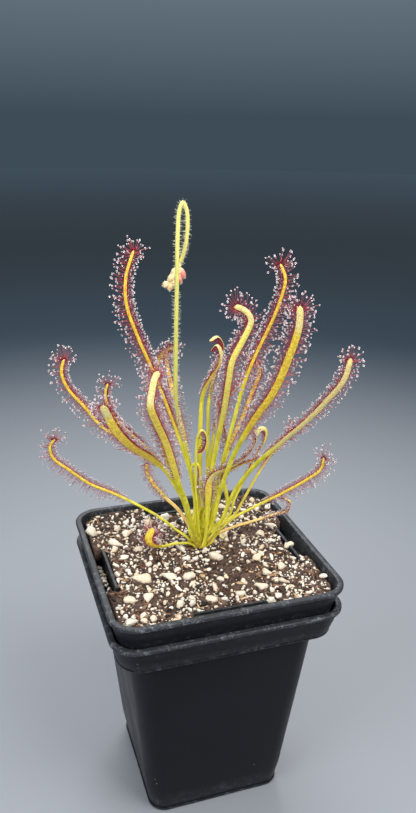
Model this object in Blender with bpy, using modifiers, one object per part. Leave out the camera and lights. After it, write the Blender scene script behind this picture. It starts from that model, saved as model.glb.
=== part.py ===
"""Potted sundew: a strap-leaved sundew with a nodding flower stalk, in two nested square nursery pots.

Metres, +Z up. The origin is the middle of the outer pot's underside. Sizes below are in millimetres
and become metres as points are made. Every leaf is one solid with its own tentacles.
"""
import math
import random
from collections import namedtuple

import bmesh
import bpy
from mathutils import Matrix, Vector, noise

MM = 0.001
GAP = 0.3                   # clearance between pieces that touch

# Nursery pot, both alike: half widths of the square, and heights from its own underside
POT_HEIGHT = 93.8
POT_NEST = 9.3              # how far the inner pot stands above the outer one
LIP_HALF = 44.5
LIP_THICK = 1.5
LIP_ROUND = 0.4
LIP_OPENING = 42.0
LIP_CORNER = 10.3           # corner radii go with the half width named before them
BAND_TOP_HALF = 43.4
BAND_FOOT_HALF = 41.4
BAND_FOOT_CORNER = 9.3
BAND_FOOT_INNER = 40.1
SHOULDER_Z = 82.3
SHOULDER_THICK = 0.8
BODY_TOP_HALF = 36.6
BODY_TOP_CORNER = 8.5
BODY_FOOT_HALF = 27.9
BODY_FOOT_CORNER = 7.0
BODY_WALL = 0.65
FLOOR_THICK = 1.2
CORNER_STEPS = 4
SLOT_LENGTH = 28.0          # label slot ribs, one along the middle of each side
SLOT_HEIGHT = 8.8
SLOT_RIB = 1.0
RIB_ROOT = 0.2              # a rib starts inside the shoulder's thickness
DRAIN_RADIUS = 4.0
DRAIN_OFFSET = 15.0
DRAIN_SIDES = 12

# Soil, with perlite grains
SOIL_Z = 98.5               # mean height of the soil's surface
SOIL_EDGE_DROP = 1.6        # its edge by the pot lies this much lower
SOIL_RISE = 1.2             # it rises by this away from the crown, and by the tilt towards the back
SOIL_TILT = 0.022
RISE_STRETCH = 22.0
SOIL_MOUND = 0.8
MOUND_REACH = 22.0
SOIL_RELIEF = 0.7
WAVE_PITCH = (0.09, 0.23)   # waves per mm of the long and the short relief
CALM_RADIUS = 9.0           # the relief fades inside this distance of the crown
SOIL_FALLS = (1.0, 0.84, 0.66, 0.48, 0.31, 0.15)
SOIL_SIDE_POINTS = 3
SLOT_CUT_DEPTH = 7.6
SLOT_CUT_HEIGHT = 12.0
PLANE_CLEAR = 0.08          # keeps a cutter's face out of the plane of a soil face
SMALL_GRAINS = 32
GRAIN_SIZES = (2.2, 3.6)
GRAIN_FIELD = 37.0
GRAIN_CLEAR = 8.0           # small grains keep this far from the crown's axis
SLOT_KEEP = 32.0            # and out of the label slots, beyond this distance from the middle

# Crown: the short stem at the foot of the leaves
CROWN_X = 2.5
CROWN_Y = 8.5
CROWN_FOOT_RADIUS = 3.0
CROWN_TOP_RADIUS = 2.3
CROWN_TOP = 12.5            # above the soil
CROWN_SUNK = 5.5
TOP_ROOT_RADIUS = 1.2       # where the youngest leaves stand on its top

# Leaves
TUFT_X = 4.0                # the point the leaves' spines are measured from, on the soil by the crown
TUFT_Y = 8.0
ROOT_GAP = 0.5              # from the crown to the middle of a leaf's end
PETIOLE_WIDTH = 2.0
PETIOLE_SHARE = 0.62        # of the blade's width, where that is less
PETIOLE_THICK = 1.0
ROOT_WIDTH = 1.5            # the petiole's width at the crown, full width 9 mm out
ROOT_STRETCH = 9.0
BLADE_THICK = 0.8
STATION_TURN = math.radians(32)
STATION_STEP = 12.0
BLADE_OPENS = 0.14          # share of the length over which petiole becomes blade
TURN_BY = 0.42              # share of the length over which the blade takes its first turn
TIP_FROM = 0.9              # from this share on the blade narrows to its blunt tip
TIP_FALL = 3.5
TENTACLE_PITCH = 12.5
TENTACLE_ROWS = ((0.0, 1, False), (0.5, -1, False), (0.25, 0.35, True), (0.75, -0.35, True))
MARGIN_TENTACLE = 6.0       # rows above: share of the pitch, place in half widths, whether on the face
FACE_TENTACLE = 3.0
TENTACLE_RADIUS = 0.2
TENTACLE_SUNK = 0.75        # how far a tentacle's root lies inside the blade
DROP_RADIUS = 0.5
DROP_LENGTH = 1.1
BLADE_BARE = 2.0            # the blade's first stretch and its last have no margin tentacles
TIP_BARE = 3.0
NARROW_BLADE = 2.15         # rolled young leaves narrower than this show two pairs only
TENTACLE_CLEAR = 0.9        # kept from the edges of other leaves
TENTACLE_APART = 1.1        # kept from other tentacles
FREE_FROM = 1.5             # a tentacle is tested from this far out of its root
OWN_STRETCH = 7.0           # a leaf's own blade is tested beyond this distance from the root
SOIL_CLEAR = 2.0
RIM_CLEAR = 1.5
RIM_INSIDE = 39.0

# Withered leaf on the soil: (x, y, rise) as it lies
DRY_LEAF = ((13, 18, 0.3), (13.5, 15, 0), (13, 11.5, 0), (12, 8, 1.0))
DRY_LEAF_WIDTH = 2.6
DRY_LEAF_THICK = 0.7

# Flower stalk and buds
STALK_RADIUS = 0.9
STALK_TAPER = 0.22
BUD_RADIUS = 1.15
BUD_AXIS_RADIUS = 0.7

random.seed(4)

# A leaf's six-sided section, in half widths and half thicknesses
LEAF_OUTLINE = ((1, 0), (0.5, 1), (-0.5, 1), (-1, 0), (-0.5, -1), (0.5, -1))

Leaf = namedtuple("Leaf", "azimuth root width blade_from turns spine")

# One row a leaf. azimuth: compass direction it leans to, in degrees from +X. root: azimuth and height
# where it joins the crown. width: of the blade. blade_from: share of the length that is bare petiole.
# turns: how far the blade is twisted about its own line, where it opens and at its tip, in degrees.
# spine: (reach, rise) or (reach, rise, sideways) from the tuft's point, to the left of its azimuth.
LEAVES = (
    Leaf(192, (196, 10.2), 2.8, 0.30, (88, 88),
         ((4, 18, -1), (6, 33, -1), (9, 43, -1), (15, 61, -1), (22, 79, -1), (28, 93, -1), (32, 105, -1),
          (32, 114, -1), (29, 123, -1))),
    Leaf(177, (180, 6.0), 2.6, 0.42, (98, 92),
         ((7, 16), (11, 29), (22, 42), (33, 51), (41, 58), (46, 65), (52, 73), (54, 79), (53, 84))),
    Leaf(214, (208, 3.8), 4.4, 0.50, (37, 37),
         ((8, 10), (13, 25), (19, 37), (31, 50), (42, 59), (49, 67), (53, 74), (55, 78))),
    Leaf(148, (150, 4.4), 2.4, 0.42, (100, 100),
         ((7, 13), (11, 23), (23, 40), (31, 47), (36, 51), (40, 57), (41, 63), (40, 67))),
    Leaf(162, (156, 1.6), 2.3, 0.40, (112, 118),
         ((7, 4), (12, 8), (18, 13), (26, 18), (37, 24), (46, 28), (54, 34), (60, 39), (61, 44),
          (59, 47))),
    Leaf(185, (192, 1.6), 3.2, 0.50, (30, 30),
         ((7, 3), (13, 4), (19, 4), (23, 6), (24, 9), (22, 13))),
    Leaf(127, (120, 1.6), 2.4, 0.50, (-50, -50),
         ((8, 7), (14, 13), (20, 16), (26, 20), (30, 25), (30, 29))),
    Leaf(229, (238, 4.6), 3.8, 0.42, (32, 32),
         ((12, 14), (18, 28), (24, 38), (29, 48), (36, 61), (43, 71), (47, 78), (46, 82), (44, 86),
          (41, 88))),
    Leaf(130, (122, 5.8), 2.8, 0.36, (-55, -55),
         ((8, 14), (13, 24), (19, 35), (22, 45), (25, 57), (25, 68), (23, 76), (19, 81), (15, 83))),
    Leaf(98, (76, 7.2), 2.8, 0.38, (-26, -26),
         ((8, 18), (15, 31), (22, 43), (30, 53), (36, 62), (39, 68), (39, 73))),
    Leaf(316, (316, 10.2), 2.9, 0.36, (-92, -92),
         ((4, 18), (5, 30), (9, 47), (12, 60), (15, 73), (19, 85), (25, 99), (28, 108), (29, 114),
          (27, 119))),
    Leaf(291, (298, 7.2), 4.1, 0.42, (-42, -42),
         ((6, 16), (8, 25), (11, 34), (18, 50), (27, 65), (36, 78), (42, 91), (46, 103), (46, 110))),
    Leaf(342, (274, 10.2), 3.5, 0.44, (-90, -90),
         ((1.6, 20, -5), (2.6, 38, -7), (4, 50, -9.5), (6, 65, -15.5), (7.3, 80, -22.5), (8.3, 88, -25),
          (11.3, 95, -26), (13.3, 99.4, -26), (14.1, 102.4, -26), (13.2, 104.5, -26), (11.8, 105.8, -26),
          (10, 106.7, -26), (8.3, 106.9, -26))),
    Leaf(300, (150, 12.8), 2.8, 0.62, (-48, -48),
         ((-1, 20, -1), (-3, 36), (-3, 56), (-2, 66), (2, 74), (6, 80), (7, 84), (5, 87), (2, 84))),
    Leaf(27, (50, 12.8), 2.4, 0.60, (0, 0),
         ((2, 20, 1), (2, 36, 1), (2, 54, 1), (2, 62, 1), (5, 72, 1), (8, 79, 1), (9, 84, 1), (6, 88, 1),
          (2, 87, 1))),
    Leaf(174, (242, 7.6), 2.1, 0.70, (0, 0),
         ((4, 19, 5), (5, 30, 6), (5, 47, 6), (4.5, 52, 6), (3, 54.5, 6), (1.4, 52.5, 6), (1.4, 48, 6),
          (3, 46, 7), (5, 46, 8))),
    Leaf(154, (224, 10.2), 2.1, 0.66, (0, 0),
         ((3, 19, 4), (4, 28, 5), (5, 35, 5), (4.2, 39, 5), (2.6, 39.5, 5), (1.6, 37, 5), (1.6, 31, 5),
          (1.8, 26, 5))),
    Leaf(34, (38, 7.2), 2.6, 0.40, (0, 0),
         ((7, 18), (11, 26), (13, 35), (13, 43), (11, 50), (8, 58), (7, 63))),
    Leaf(358, (310, 12.8), 3.0, 0.48, (0, 0),
         ((1, 20, -1), (1, 30, -1), (2, 44, -1), (4, 56, -1), (8, 65, -1), (13, 71, -1), (17, 76, -1),
          (17, 79, -1), (15, 82, -1))),
    Leaf(17, (5, 10.2), 2.8, 0.42, (35, 35),
         ((4, 18), (6, 28), (11, 41), (18, 53), (23, 64), (26, 71), (24, 76))),
    Leaf(304, (300, 4.0), 3.4, 0.46, (-52, -60),
         ((8, 14), (14, 29), (22, 42), (34, 56), (44, 67), (51, 76), (57, 85), (59, 93))),
    Leaf(0, (348, 5.8), 2.2, 0.56, (-60, -60),
         ((13, 13), (16, 18), (22, 29), (27, 37), (34, 44), (36, 50))),
    Leaf(328, (324, 1.6), 2.3, 0.46, (-100, -106),
         ((6, 8), (12, 15), (20, 21), (31, 29), (40, 36), (45, 41), (46, 46))),
    Leaf(354, (356, 2.2), 2.2, 0.54, (0, 0),
         ((7, 6), (13, 8), (22, 10), (30, 12), (35, 13), (36, 17), (33, 19))),
    Leaf(14, (20, 4.4), 2.8, 0.46, (0, 0),
         ((12, 11), (14, 17), (19, 26), (24, 35), (29, 42), (29, 46), (26, 47), (24, 44))),
    Leaf(342, (268, 1.6), 4.0, 0.30, (-55, 5),
         ((0.5, 8, -4.5), (1, 18, -6.5), (1.2, 28, -8), (1.5, 33, -8.5), (3.4, 36.8, -8.5), (7.5, 39, -8.5),
          (12, 41.7, -8.5), (15, 44.4, -8.5), (17.6, 48, -8.5), (18.8, 51.5, -8.5), (18.3, 54.5, -8.5),
          (16.8, 57, -8.5))),
    Leaf(342, (336, 8.0), 2.8, 0.50, (-50, -50),
         ((8, 14), (9, 20), (8, 27), (7, 32), (10, 35), (15, 38), (20, 40))),
)

STALK_AZIMUTH = 154
STALK_ROOT = (106, 10.2)
STALK_SPINE = ((3, 18, -2), (5, 28, -2), (8, 40, -2), (11, 52, -1), (12, 64), (12, 92), (11.7, 110),
               (11.5, 126), (10.9, 134.6), (9.7, 137.5), (8.4, 134.4, -1), (8.4, 127, -2), (9.5, 120.6, -3),
               (11, 116, -4))
BUD_SPINE = ((11.15, 115.65, -4), (12.6, 112.6, -4), (13.8, 110.2, -4), (14.8, 108.4, -4), (16, 107.3, -4))
# Each bud's foot and tip as (reach, rise), then how far to the side it sits
BUDS = (((11.8, 113.8), (9.6, 110.0), -4.3), ((12.9, 111.9), (10.7, 108.2), -3.8),
        ((12.4, 113.4), (14.6, 110.7), -4.7), ((13.4, 111.1), (15.7, 108.6), -3.7),
        ((13.8, 110.0), (13.9, 106.5), -4.2), ((14.6, 108.4), (15.3, 105.0), -4.1),
        ((15.1, 107.9), (17.8, 106.8), -3.8))

# Larger pale grains, placed as on the soil: (x, y, length, width)
LARGE_GRAINS = ((-26, -10, 9, 6), (-9, -13, 6, 5), (-16, -11, 6, 5), (-27, -21, 5, 4), (-34, -21, 5, 4),
                (-17, -29, 4, 4), (-28, -34, 4, 3), (-28, 29, 6, 4), (-25, 24, 7, 4), (-31, 18, 8, 4),
                (16, -26, 7, 4), (21, -18, 5, 4), (7, -28, 5, 4), (-5, -29, 6, 4), (38, -13, 4, 3),
                (37, -3, 5, 4), (36, 14, 5, 4), (29, 9, 5, 4), (-30, 7, 5, 4), (20, 28, 5, 4), (6, 34, 5, 4))


def clear_scene():
    for item in list(bpy.data.objects):
        bpy.data.objects.remove(item, do_unlink=True)
    for item in list(bpy.data.collections):
        bpy.data.collections.remove(item)


def new_collection(name):
    made = bpy.data.collections.new(name)
    bpy.context.scene.collection.children.link(made)
    return made


def material(name, colour, roughness, metallic=0.0):
    made = bpy.data.materials.new(name)
    made.use_nodes = True
    shader = made.node_tree.nodes["Principled BSDF"]
    shader.inputs["Base Color"].default_value = (*colour, 1.0)
    shader.inputs["Roughness"].default_value = roughness
    shader.inputs["Metallic"].default_value = metallic
    return made


def mm(x, y, z):
    return Vector((x, y, z)) * MM


def add_object(name, bm, collection, finish=None):
    """Turn a bmesh into a named object and free the bmesh."""
    bmesh.ops.recalc_face_normals(bm, faces=bm.faces)
    mesh = bpy.data.meshes.new(name)
    bm.to_mesh(mesh)
    bm.free()
    made = bpy.data.objects.new(name, mesh)
    collection.objects.link(made)
    if finish:
        mesh.materials.append(finish)
    return made


def make_cutter(item):
    item.hide_render = True
    item.display_type = "WIRE"
    return item


def loft(bm, rings):
    """Skin a run of closed rings and cap both ends; a ring of one point is an apex."""
    made = [[bm.verts.new(point) for point in ring] for ring in rings]
    for low, high in zip(made[:-1], made[1:]):
        count = max(len(low), len(high))
        for i in range(count):
            j = (i + 1) % count
            if len(high) == 1:
                bm.faces.new((low[i], low[j], high[0]))
            elif len(low) == 1:
                bm.faces.new((low[0], high[j], high[i]))
            else:
                bm.faces.new((low[i], low[j], high[j], high[i]))
    for ring in (made[0], made[-1]):
        if len(ring) > 2:
            bm.faces.new(ring)


def fuse(base, pieces, name):
    """Union a collection of pieces into the base object and drop the collection."""
    if not pieces:
        return
    group = bpy.data.collections.new(name)
    bpy.context.scene.collection.children.link(group)
    for piece in pieces:
        group.objects.link(piece)
        for owner in list(piece.users_collection):
            if owner != group:
                owner.objects.unlink(piece)
    union = base.modifiers.new("fuse", "BOOLEAN")
    union.operation = "UNION"
    union.operand_type = "COLLECTION"
    union.collection = group
    union.solver = "EXACT"
    graph = bpy.context.evaluated_depsgraph_get()
    joined = bpy.data.meshes.new_from_object(base.evaluated_get(graph))
    joined.name = base.name
    base.modifiers.remove(union)
    base.data = joined
    for piece in pieces:
        bpy.data.objects.remove(piece, do_unlink=True)
    bpy.data.collections.remove(group)


def cut(base, cutter, name):
    difference = base.modifiers.new(name, "BOOLEAN")
    difference.operation = "DIFFERENCE"
    difference.object = make_cutter(cutter)
    difference.solver = "EXACT"


# Pots

def square_ring(half, radius, z, side_points=0):
    """Points round a square with rounded corners, with extra points along its straight sides."""
    ring = []
    straight = half - radius
    for corner in range(4):
        turn = math.radians(90 * corner)
        centre = Vector((straight, straight))
        for step in range(CORNER_STEPS + 1):
            angle = math.radians(90 * step / CORNER_STEPS)
            point = centre + Vector((math.cos(angle), math.sin(angle))) * radius
            ring.append(turned(point, turn, z))
        for step in range(1, side_points + 1):
            share = 1 - 2 * step / (side_points + 1)
            ring.append(turned(Vector((share * straight, half)), turn, z))
    return ring


def turned(point, angle, z):
    x = point.x * math.cos(angle) - point.y * math.sin(angle)
    y = point.x * math.sin(angle) + point.y * math.cos(angle)
    return mm(x, y, z)


def body_half(z):
    """Outer half width of a pot's body at height z above its own underside."""
    return BODY_FOOT_HALF + (BODY_TOP_HALF - BODY_FOOT_HALF) * z / SHOULDER_Z


def band_inner_half(z):
    """Inner half width of the band under the lip."""
    foot = SHOULDER_Z + SHOULDER_THICK
    share = (z - foot) / (POT_HEIGHT - LIP_ROUND - foot)
    return BAND_FOOT_INNER + (LIP_OPENING - BAND_FOOT_INNER) * share


def lip_corner(half):
    """Corner radius of a ring at the lip that runs parallel to its outer edge."""
    return LIP_CORNER - (LIP_HALF - half)


def band_inner_corner():
    return BAND_FOOT_CORNER - (BAND_FOOT_HALF - BAND_FOOT_INNER)


def box(name, size, centre, collection):
    bm = bmesh.new()
    bmesh.ops.create_cube(bm, size=1.0)
    bmesh.ops.scale(bm, vec=Vector(size) * MM, verts=bm.verts)
    bmesh.ops.translate(bm, vec=mm(*centre), verts=bm.verts)
    return add_object(name, bm, collection)


def make_pot(name, lift, finish, parts, cutters):
    """One nursery pot: a thin tapered body, a wider band with a lip, label ribs and drain holes."""
    lip_under = POT_HEIGHT - LIP_THICK
    shoulder_top = SHOULDER_Z + SHOULDER_THICK
    wall = (
        (BODY_FOOT_HALF, BODY_FOOT_CORNER, 0),
        (BODY_TOP_HALF, BODY_TOP_CORNER, SHOULDER_Z),
        (BAND_FOOT_HALF, BAND_FOOT_CORNER, SHOULDER_Z),
        (BAND_TOP_HALF, lip_corner(BAND_TOP_HALF), lip_under),
        (LIP_HALF, LIP_CORNER, lip_under),
        (LIP_HALF, LIP_CORNER, POT_HEIGHT - LIP_ROUND),
        (LIP_HALF - LIP_ROUND, lip_corner(LIP_HALF - LIP_ROUND), POT_HEIGHT),
        (LIP_OPENING + LIP_ROUND, lip_corner(LIP_OPENING + LIP_ROUND), POT_HEIGHT),
        (LIP_OPENING, lip_corner(LIP_OPENING), POT_HEIGHT - LIP_ROUND),
        (BAND_FOOT_INNER, band_inner_corner(), shoulder_top),
        (BODY_TOP_HALF - BODY_WALL, BODY_TOP_CORNER - BODY_WALL, shoulder_top),
        (body_half(FLOOR_THICK) - BODY_WALL, BODY_FOOT_CORNER - BODY_WALL, FLOOR_THICK),
    )
    bm = bmesh.new()
    loft(bm, [square_ring(half, radius, z + lift) for half, radius, z in wall])
    pot = add_object(name, bm, parts, finish)
    fuse(pot, [slot_rib(side, lift, parts) for side in range(4)], name + "_ribs")
    for side in range(4):
        angle = math.radians(45 + 90 * side)
        reach = DRAIN_OFFSET * math.sqrt(2)
        hole = bmesh.new()
        bmesh.ops.create_cone(hole, cap_ends=True, segments=DRAIN_SIDES, radius1=DRAIN_RADIUS * MM,
                              radius2=DRAIN_RADIUS * MM, depth=FLOOR_THICK * 3 * MM)
        place = mm(reach * math.cos(angle), reach * math.sin(angle), lift + FLOOR_THICK / 2)
        bmesh.ops.translate(hole, vec=place, verts=hole.verts)
        drain = add_object("%s_drain_%d" % (name, side + 1), hole, cutters)
        cut(pot, drain, "drain_%d" % (side + 1))
    return pot


def slot_rib(side, lift, collection):
    """A thin upright wall that continues the body's wall above the shoulder, with the same slope."""
    inner = BODY_TOP_HALF - BODY_WALL + PLANE_CLEAR
    slope = (BODY_TOP_HALF - BODY_FOOT_HALF) / SHOULDER_Z
    low = SHOULDER_Z + RIB_ROOT
    high = SHOULDER_Z + SLOT_HEIGHT
    half = SLOT_LENGTH / 2
    rings = []
    for z in (low, high):
        near = inner + slope * (z - SHOULDER_Z)
        far = near + SLOT_RIB
        corners = (Vector((near, -half)), Vector((far, -half)), Vector((far, half)), Vector((near, half)))
        rings.append([turned(corner, math.radians(90 * side), z + lift) for corner in corners])
    bm = bmesh.new()
    loft(bm, rings)
    return add_object("rib_%d" % (side + 1), bm, collection)


# Soil

def soil_height(x, y):
    """Height of the soil's surface: a low mound round the crown, small waves, higher towards the back."""
    away = math.hypot(x - CROWN_X, y - CROWN_Y)
    mound = SOIL_MOUND * (math.exp(-(away / MOUND_REACH) ** 2) - 0.4)
    long_wave = noise.noise(Vector((x * WAVE_PITCH[0], y * WAVE_PITCH[0], 3.0)))
    short_wave = noise.noise(Vector((x * WAVE_PITCH[1], y * WAVE_PITCH[1], 8.0)))
    calm = min(1.0, away / CALM_RADIUS)
    rise = (SOIL_RISE + SOIL_TILT * (y - CROWN_Y)) * max(0.0, min(1.0, (away - CALM_RADIUS) / RISE_STRETCH))
    return SOIL_Z + mound + rise + SOIL_RELIEF * (long_wave + 0.6 * short_wave) * calm


def make_soil(finish, parts, cutters):
    """Soil that fills the inner pot, with relief and perlite grains on top."""
    floor_z = POT_NEST + FLOOR_THICK + GAP
    ledge_z = POT_NEST + SHOULDER_Z + SHOULDER_THICK + GAP
    rim_z = SOIL_Z - SOIL_EDGE_DROP
    floor_half = body_half(FLOOR_THICK) - BODY_WALL - GAP
    body_inner = BODY_TOP_HALF - BODY_WALL - GAP
    ledge_half = band_inner_half(ledge_z - POT_NEST) - GAP
    rim_half = band_inner_half(rim_z - POT_NEST) - GAP
    band_corner = band_inner_corner() - GAP
    rings = [
        square_ring(floor_half, BODY_FOOT_CORNER - BODY_WALL - GAP, floor_z, SOIL_SIDE_POINTS),
        square_ring(body_inner, BODY_TOP_CORNER - BODY_WALL - GAP, ledge_z, SOIL_SIDE_POINTS),
        square_ring(ledge_half, band_corner, ledge_z, SOIL_SIDE_POINTS),
        square_ring(rim_half, band_corner, rim_z, SOIL_SIDE_POINTS),
    ]
    for share in SOIL_FALLS:
        flat = square_ring(rim_half * share, band_corner * share, 0, SOIL_SIDE_POINTS)
        rings.append([lifted(point) for point in flat])
    bm = bmesh.new()
    loft(bm, rings)
    soil = add_object("soil", bm, parts, finish)
    fuse(soil, make_grains(parts), "grains")
    slot_x = body_inner - PLANE_CLEAR + SLOT_CUT_DEPTH / 2
    slot_z = ledge_z - GAP * 2 + SLOT_CUT_HEIGHT / 2
    for side in range(4):
        name = "slot_%d" % (side + 1)
        spot = turned(Vector((slot_x, 0)), math.radians(90 * side), slot_z) / MM
        size = [SLOT_CUT_DEPTH, SLOT_LENGTH + 2 * GAP, SLOT_CUT_HEIGHT]
        if side % 2:
            size[0], size[1] = size[1], size[0]
        cut(soil, box(name, size, spot, cutters), name)
    hole = bmesh.new()
    bmesh.ops.create_cone(hole, cap_ends=True, segments=16, radius1=(CROWN_FOOT_RADIUS + GAP) * MM,
                          radius2=(CROWN_FOOT_RADIUS + GAP) * MM, depth=(CROWN_SUNK + GAP) * 2 * MM)
    bmesh.ops.translate(hole, vec=mm(CROWN_X, CROWN_Y, SOIL_Z), verts=hole.verts)
    cut(soil, add_object("crown_hole", hole, cutters), "crown_hole")
    return soil


def lifted(point):
    return mm(point.x / MM, point.y / MM, soil_height(point.x / MM, point.y / MM))


def make_grains(collection):
    """Perlite: lumpy low grains half sunk in the soil, the larger ones where the plant's soil has them."""
    spots = list(LARGE_GRAINS)
    placed = [(x, y, length / 2) for x, y, length, width in LARGE_GRAINS]
    placed += [(x, y, DRY_LEAF_WIDTH) for x, y, rise in DRY_LEAF]
    while len(spots) < len(LARGE_GRAINS) + SMALL_GRAINS:
        x = random.uniform(-GRAIN_FIELD, GRAIN_FIELD)
        y = random.uniform(-GRAIN_FIELD, GRAIN_FIELD)
        size = random.uniform(*GRAIN_SIZES)
        near_crown = math.hypot(x - CROWN_X, y - CROWN_Y) < GRAIN_CLEAR
        in_slot = max(abs(x), abs(y)) > SLOT_KEEP and min(abs(x), abs(y)) < SLOT_LENGTH / 2 + 2
        crowded = any(math.hypot(x - a, y - b) < (size / 2 + c) * 1.05 for a, b, c in placed)
        if near_crown or in_slot or crowded:
            continue
        spots.append((x, y, size, size * random.uniform(0.7, 0.95)))
        placed.append((x, y, size / 2))
    grains = []
    for number, (x, y, length, width) in enumerate(spots):
        bm = bmesh.new()
        bmesh.ops.create_icosphere(bm, subdivisions=1, radius=1.0)
        for vert in bm.verts:
            vert.co *= random.uniform(0.85, 1.12)
        bmesh.ops.scale(bm, vec=mm(length / 2, width / 2, width * 0.36), verts=bm.verts)
        bmesh.ops.rotate(bm, matrix=Matrix.Rotation(random.uniform(0, math.pi), 3, "Z"), verts=bm.verts)
        bmesh.ops.translate(bm, vec=mm(x, y, soil_height(x, y) + width * 0.08), verts=bm.verts)
        grains.append(add_object("grain_%03d" % number, bm, collection))
    return grains


def make_dry_leaf(finish, parts):
    """A withered leaf that lies on the soil and follows it, its near end curled up a little."""
    half = DRY_LEAF_WIDTH / 2
    rings = []
    for i, (x, y, rise) in enumerate(DRY_LEAF):
        before = Vector(DRY_LEAF[max(i - 1, 0)][:2])
        after = Vector(DRY_LEAF[min(i + 1, len(DRY_LEAF) - 1)][:2])
        along = (after - before).normalized()
        side = Vector((-along.y, along.x))
        under = max(soil_height(x + side.x * a, y + side.y * a) for a in (-half, 0, half))
        middle = under + GAP + DRY_LEAF_THICK / 2 + rise
        rings.append([mm(x + side.x * half * a, y + side.y * half * a, middle + DRY_LEAF_THICK / 2 * b)
                      for a, b in LEAF_OUTLINE])
    bm = bmesh.new()
    loft(bm, rings)
    return add_object("dry_leaf", bm, parts, finish)


# Crown

def make_crown(finish, parts):
    """A turned stem with a low dome, standing in the soil's hole."""
    foot = SOIL_Z - CROWN_SUNK
    top = SOIL_Z + CROWN_TOP
    profile = ((0, top), (CROWN_TOP_RADIUS - 0.5, top), (CROWN_TOP_RADIUS, top - 0.6),
               (CROWN_FOOT_RADIUS, SOIL_Z), (CROWN_FOOT_RADIUS, foot + 0.8), (CROWN_FOOT_RADIUS - 0.8, foot),
               (0, foot))
    bm = bmesh.new()
    points = [bm.verts.new(mm(radius, 0, z)) for radius, z in profile]
    for low, high in zip(points[:-1], points[1:]):
        bm.edges.new((low, high))
    mesh = bpy.data.meshes.new("crown")
    bm.to_mesh(mesh)
    bm.free()
    mesh.materials.append(finish)
    crown = bpy.data.objects.new("crown", mesh)
    crown.location = mm(CROWN_X, CROWN_Y, 0)
    parts.objects.link(crown)
    screw = crown.modifiers.new("turn", "SCREW")
    screw.steps = 12
    screw.render_steps = 12
    screw.use_merge_vertices = True
    screw.merge_threshold = 0.00001
    return crown


# Leaves

def crown_radius(height):
    share = max(0.0, min(1.0, height / CROWN_TOP))
    return CROWN_FOOT_RADIUS + (CROWN_TOP_RADIUS - CROWN_FOOT_RADIUS) * share


def compass(angle):
    return Vector((math.cos(math.radians(angle)), math.sin(math.radians(angle)), 0))


def spine_points(azimuth, root, spine):
    """Control points in mm from the tuft's point: two at the crown's surface, then the listed ones."""
    foot = Vector((CROWN_X - TUFT_X, CROWN_Y - TUFT_Y, 0))
    outward = compass(azimuth)
    sideways = compass(azimuth + 90)
    root_azimuth, height = root
    if height > CROWN_TOP:
        start = foot + compass(root_azimuth) * TOP_ROOT_RADIUS + Vector((0, 0, height))
        points = [start, start + Vector((0, 0, 2.0))]
    else:
        radius = crown_radius(height) + ROOT_GAP
        start = foot + compass(root_azimuth) * radius + Vector((0, 0, height))
        points = [start, start + compass(root_azimuth) * 1.1 + Vector((0, 0, 0.9))]
    for station in spine:
        reach, rise = station[:2]
        side = station[2] if len(station) > 2 else 0
        points.append(outward * reach + sideways * side + Vector((0, 0, rise)))
    return points


def smooth_curve(points, step=0.5):
    """A centripetal Catmull-Rom curve through the points, read about every step."""
    ends = [points[0] * 2 - points[1]] + points + [points[-1] * 2 - points[-2]]
    curve = []
    for a, b, c, d in zip(ends[:-3], ends[1:-2], ends[2:-1], ends[3:]):
        t0 = 0.0
        t1 = t0 + math.sqrt((b - a).length)
        t2 = t1 + math.sqrt((c - b).length)
        t3 = t2 + math.sqrt((d - c).length)
        count = max(2, round((c - b).length / step))
        for i in range(count):
            t = t1 + (t2 - t1) * i / count
            ab = a.lerp(b, (t - t0) / (t1 - t0))
            bc = b.lerp(c, (t - t1) / (t2 - t1))
            cd = c.lerp(d, (t - t2) / (t3 - t2))
            abc = ab.lerp(bc, (t - t0) / (t2 - t0))
            bcd = bc.lerp(cd, (t - t1) / (t3 - t1))
            curve.append(abc.lerp(bcd, (t - t1) / (t2 - t1)))
    curve.append(points[-1].copy())
    return curve


def blade_turn(share, turns):
    """How far a leaf's section is turned about its own line, in radians, at a share of its length."""
    start, end = turns
    if share < TURN_BY:
        ease = share / TURN_BY
        return math.radians(start) * ease * ease * (3 - 2 * ease)
    return math.radians(start + (end - start) * (share - TURN_BY) / (1 - TURN_BY))


def frames(curve, azimuth, root_azimuth, turns=(0, 0)):
    """Tangent, sideways and upper-face directions along a curve, with the running length."""
    made = []
    length = 0.0
    total = sum((after - before).length for before, after in zip(curve[:-1], curve[1:]))
    for i, point in enumerate(curve):
        before = curve[max(i - 1, 0)]
        after = curve[min(i + 1, len(curve) - 1)]
        tangent = (after - before).normalized()
        if i:
            length += (point - before).length
        ease = min(1.0, length / 12.0)
        side = compass(root_azimuth + 90).lerp(compass(azimuth + 90), ease)
        if side.length < 0.2:
            side = compass(azimuth + 90)
        side = (side - tangent * side.dot(tangent)).normalized()
        side = Matrix.Rotation(blade_turn(length / total, turns), 3, tangent) @ side
        made.append((point, tangent, side, tangent.cross(side), length))
    return made


def stations(track):
    """The few places along a track where a section is set: closer together where it bends."""
    picked = [track[0]]
    turned_by = 0.0
    for last, now in zip(track[:-1], track[1:]):
        turned_by += last[1].angle(now[1], 0.0)
        if turned_by > STATION_TURN or now[4] - picked[-1][4] > STATION_STEP:
            picked.append(now)
            turned_by = 0.0
    if track[-1][4] - picked[-1][4] < 1.5:
        picked.pop()
    picked.append(track[-1])
    return picked


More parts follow.
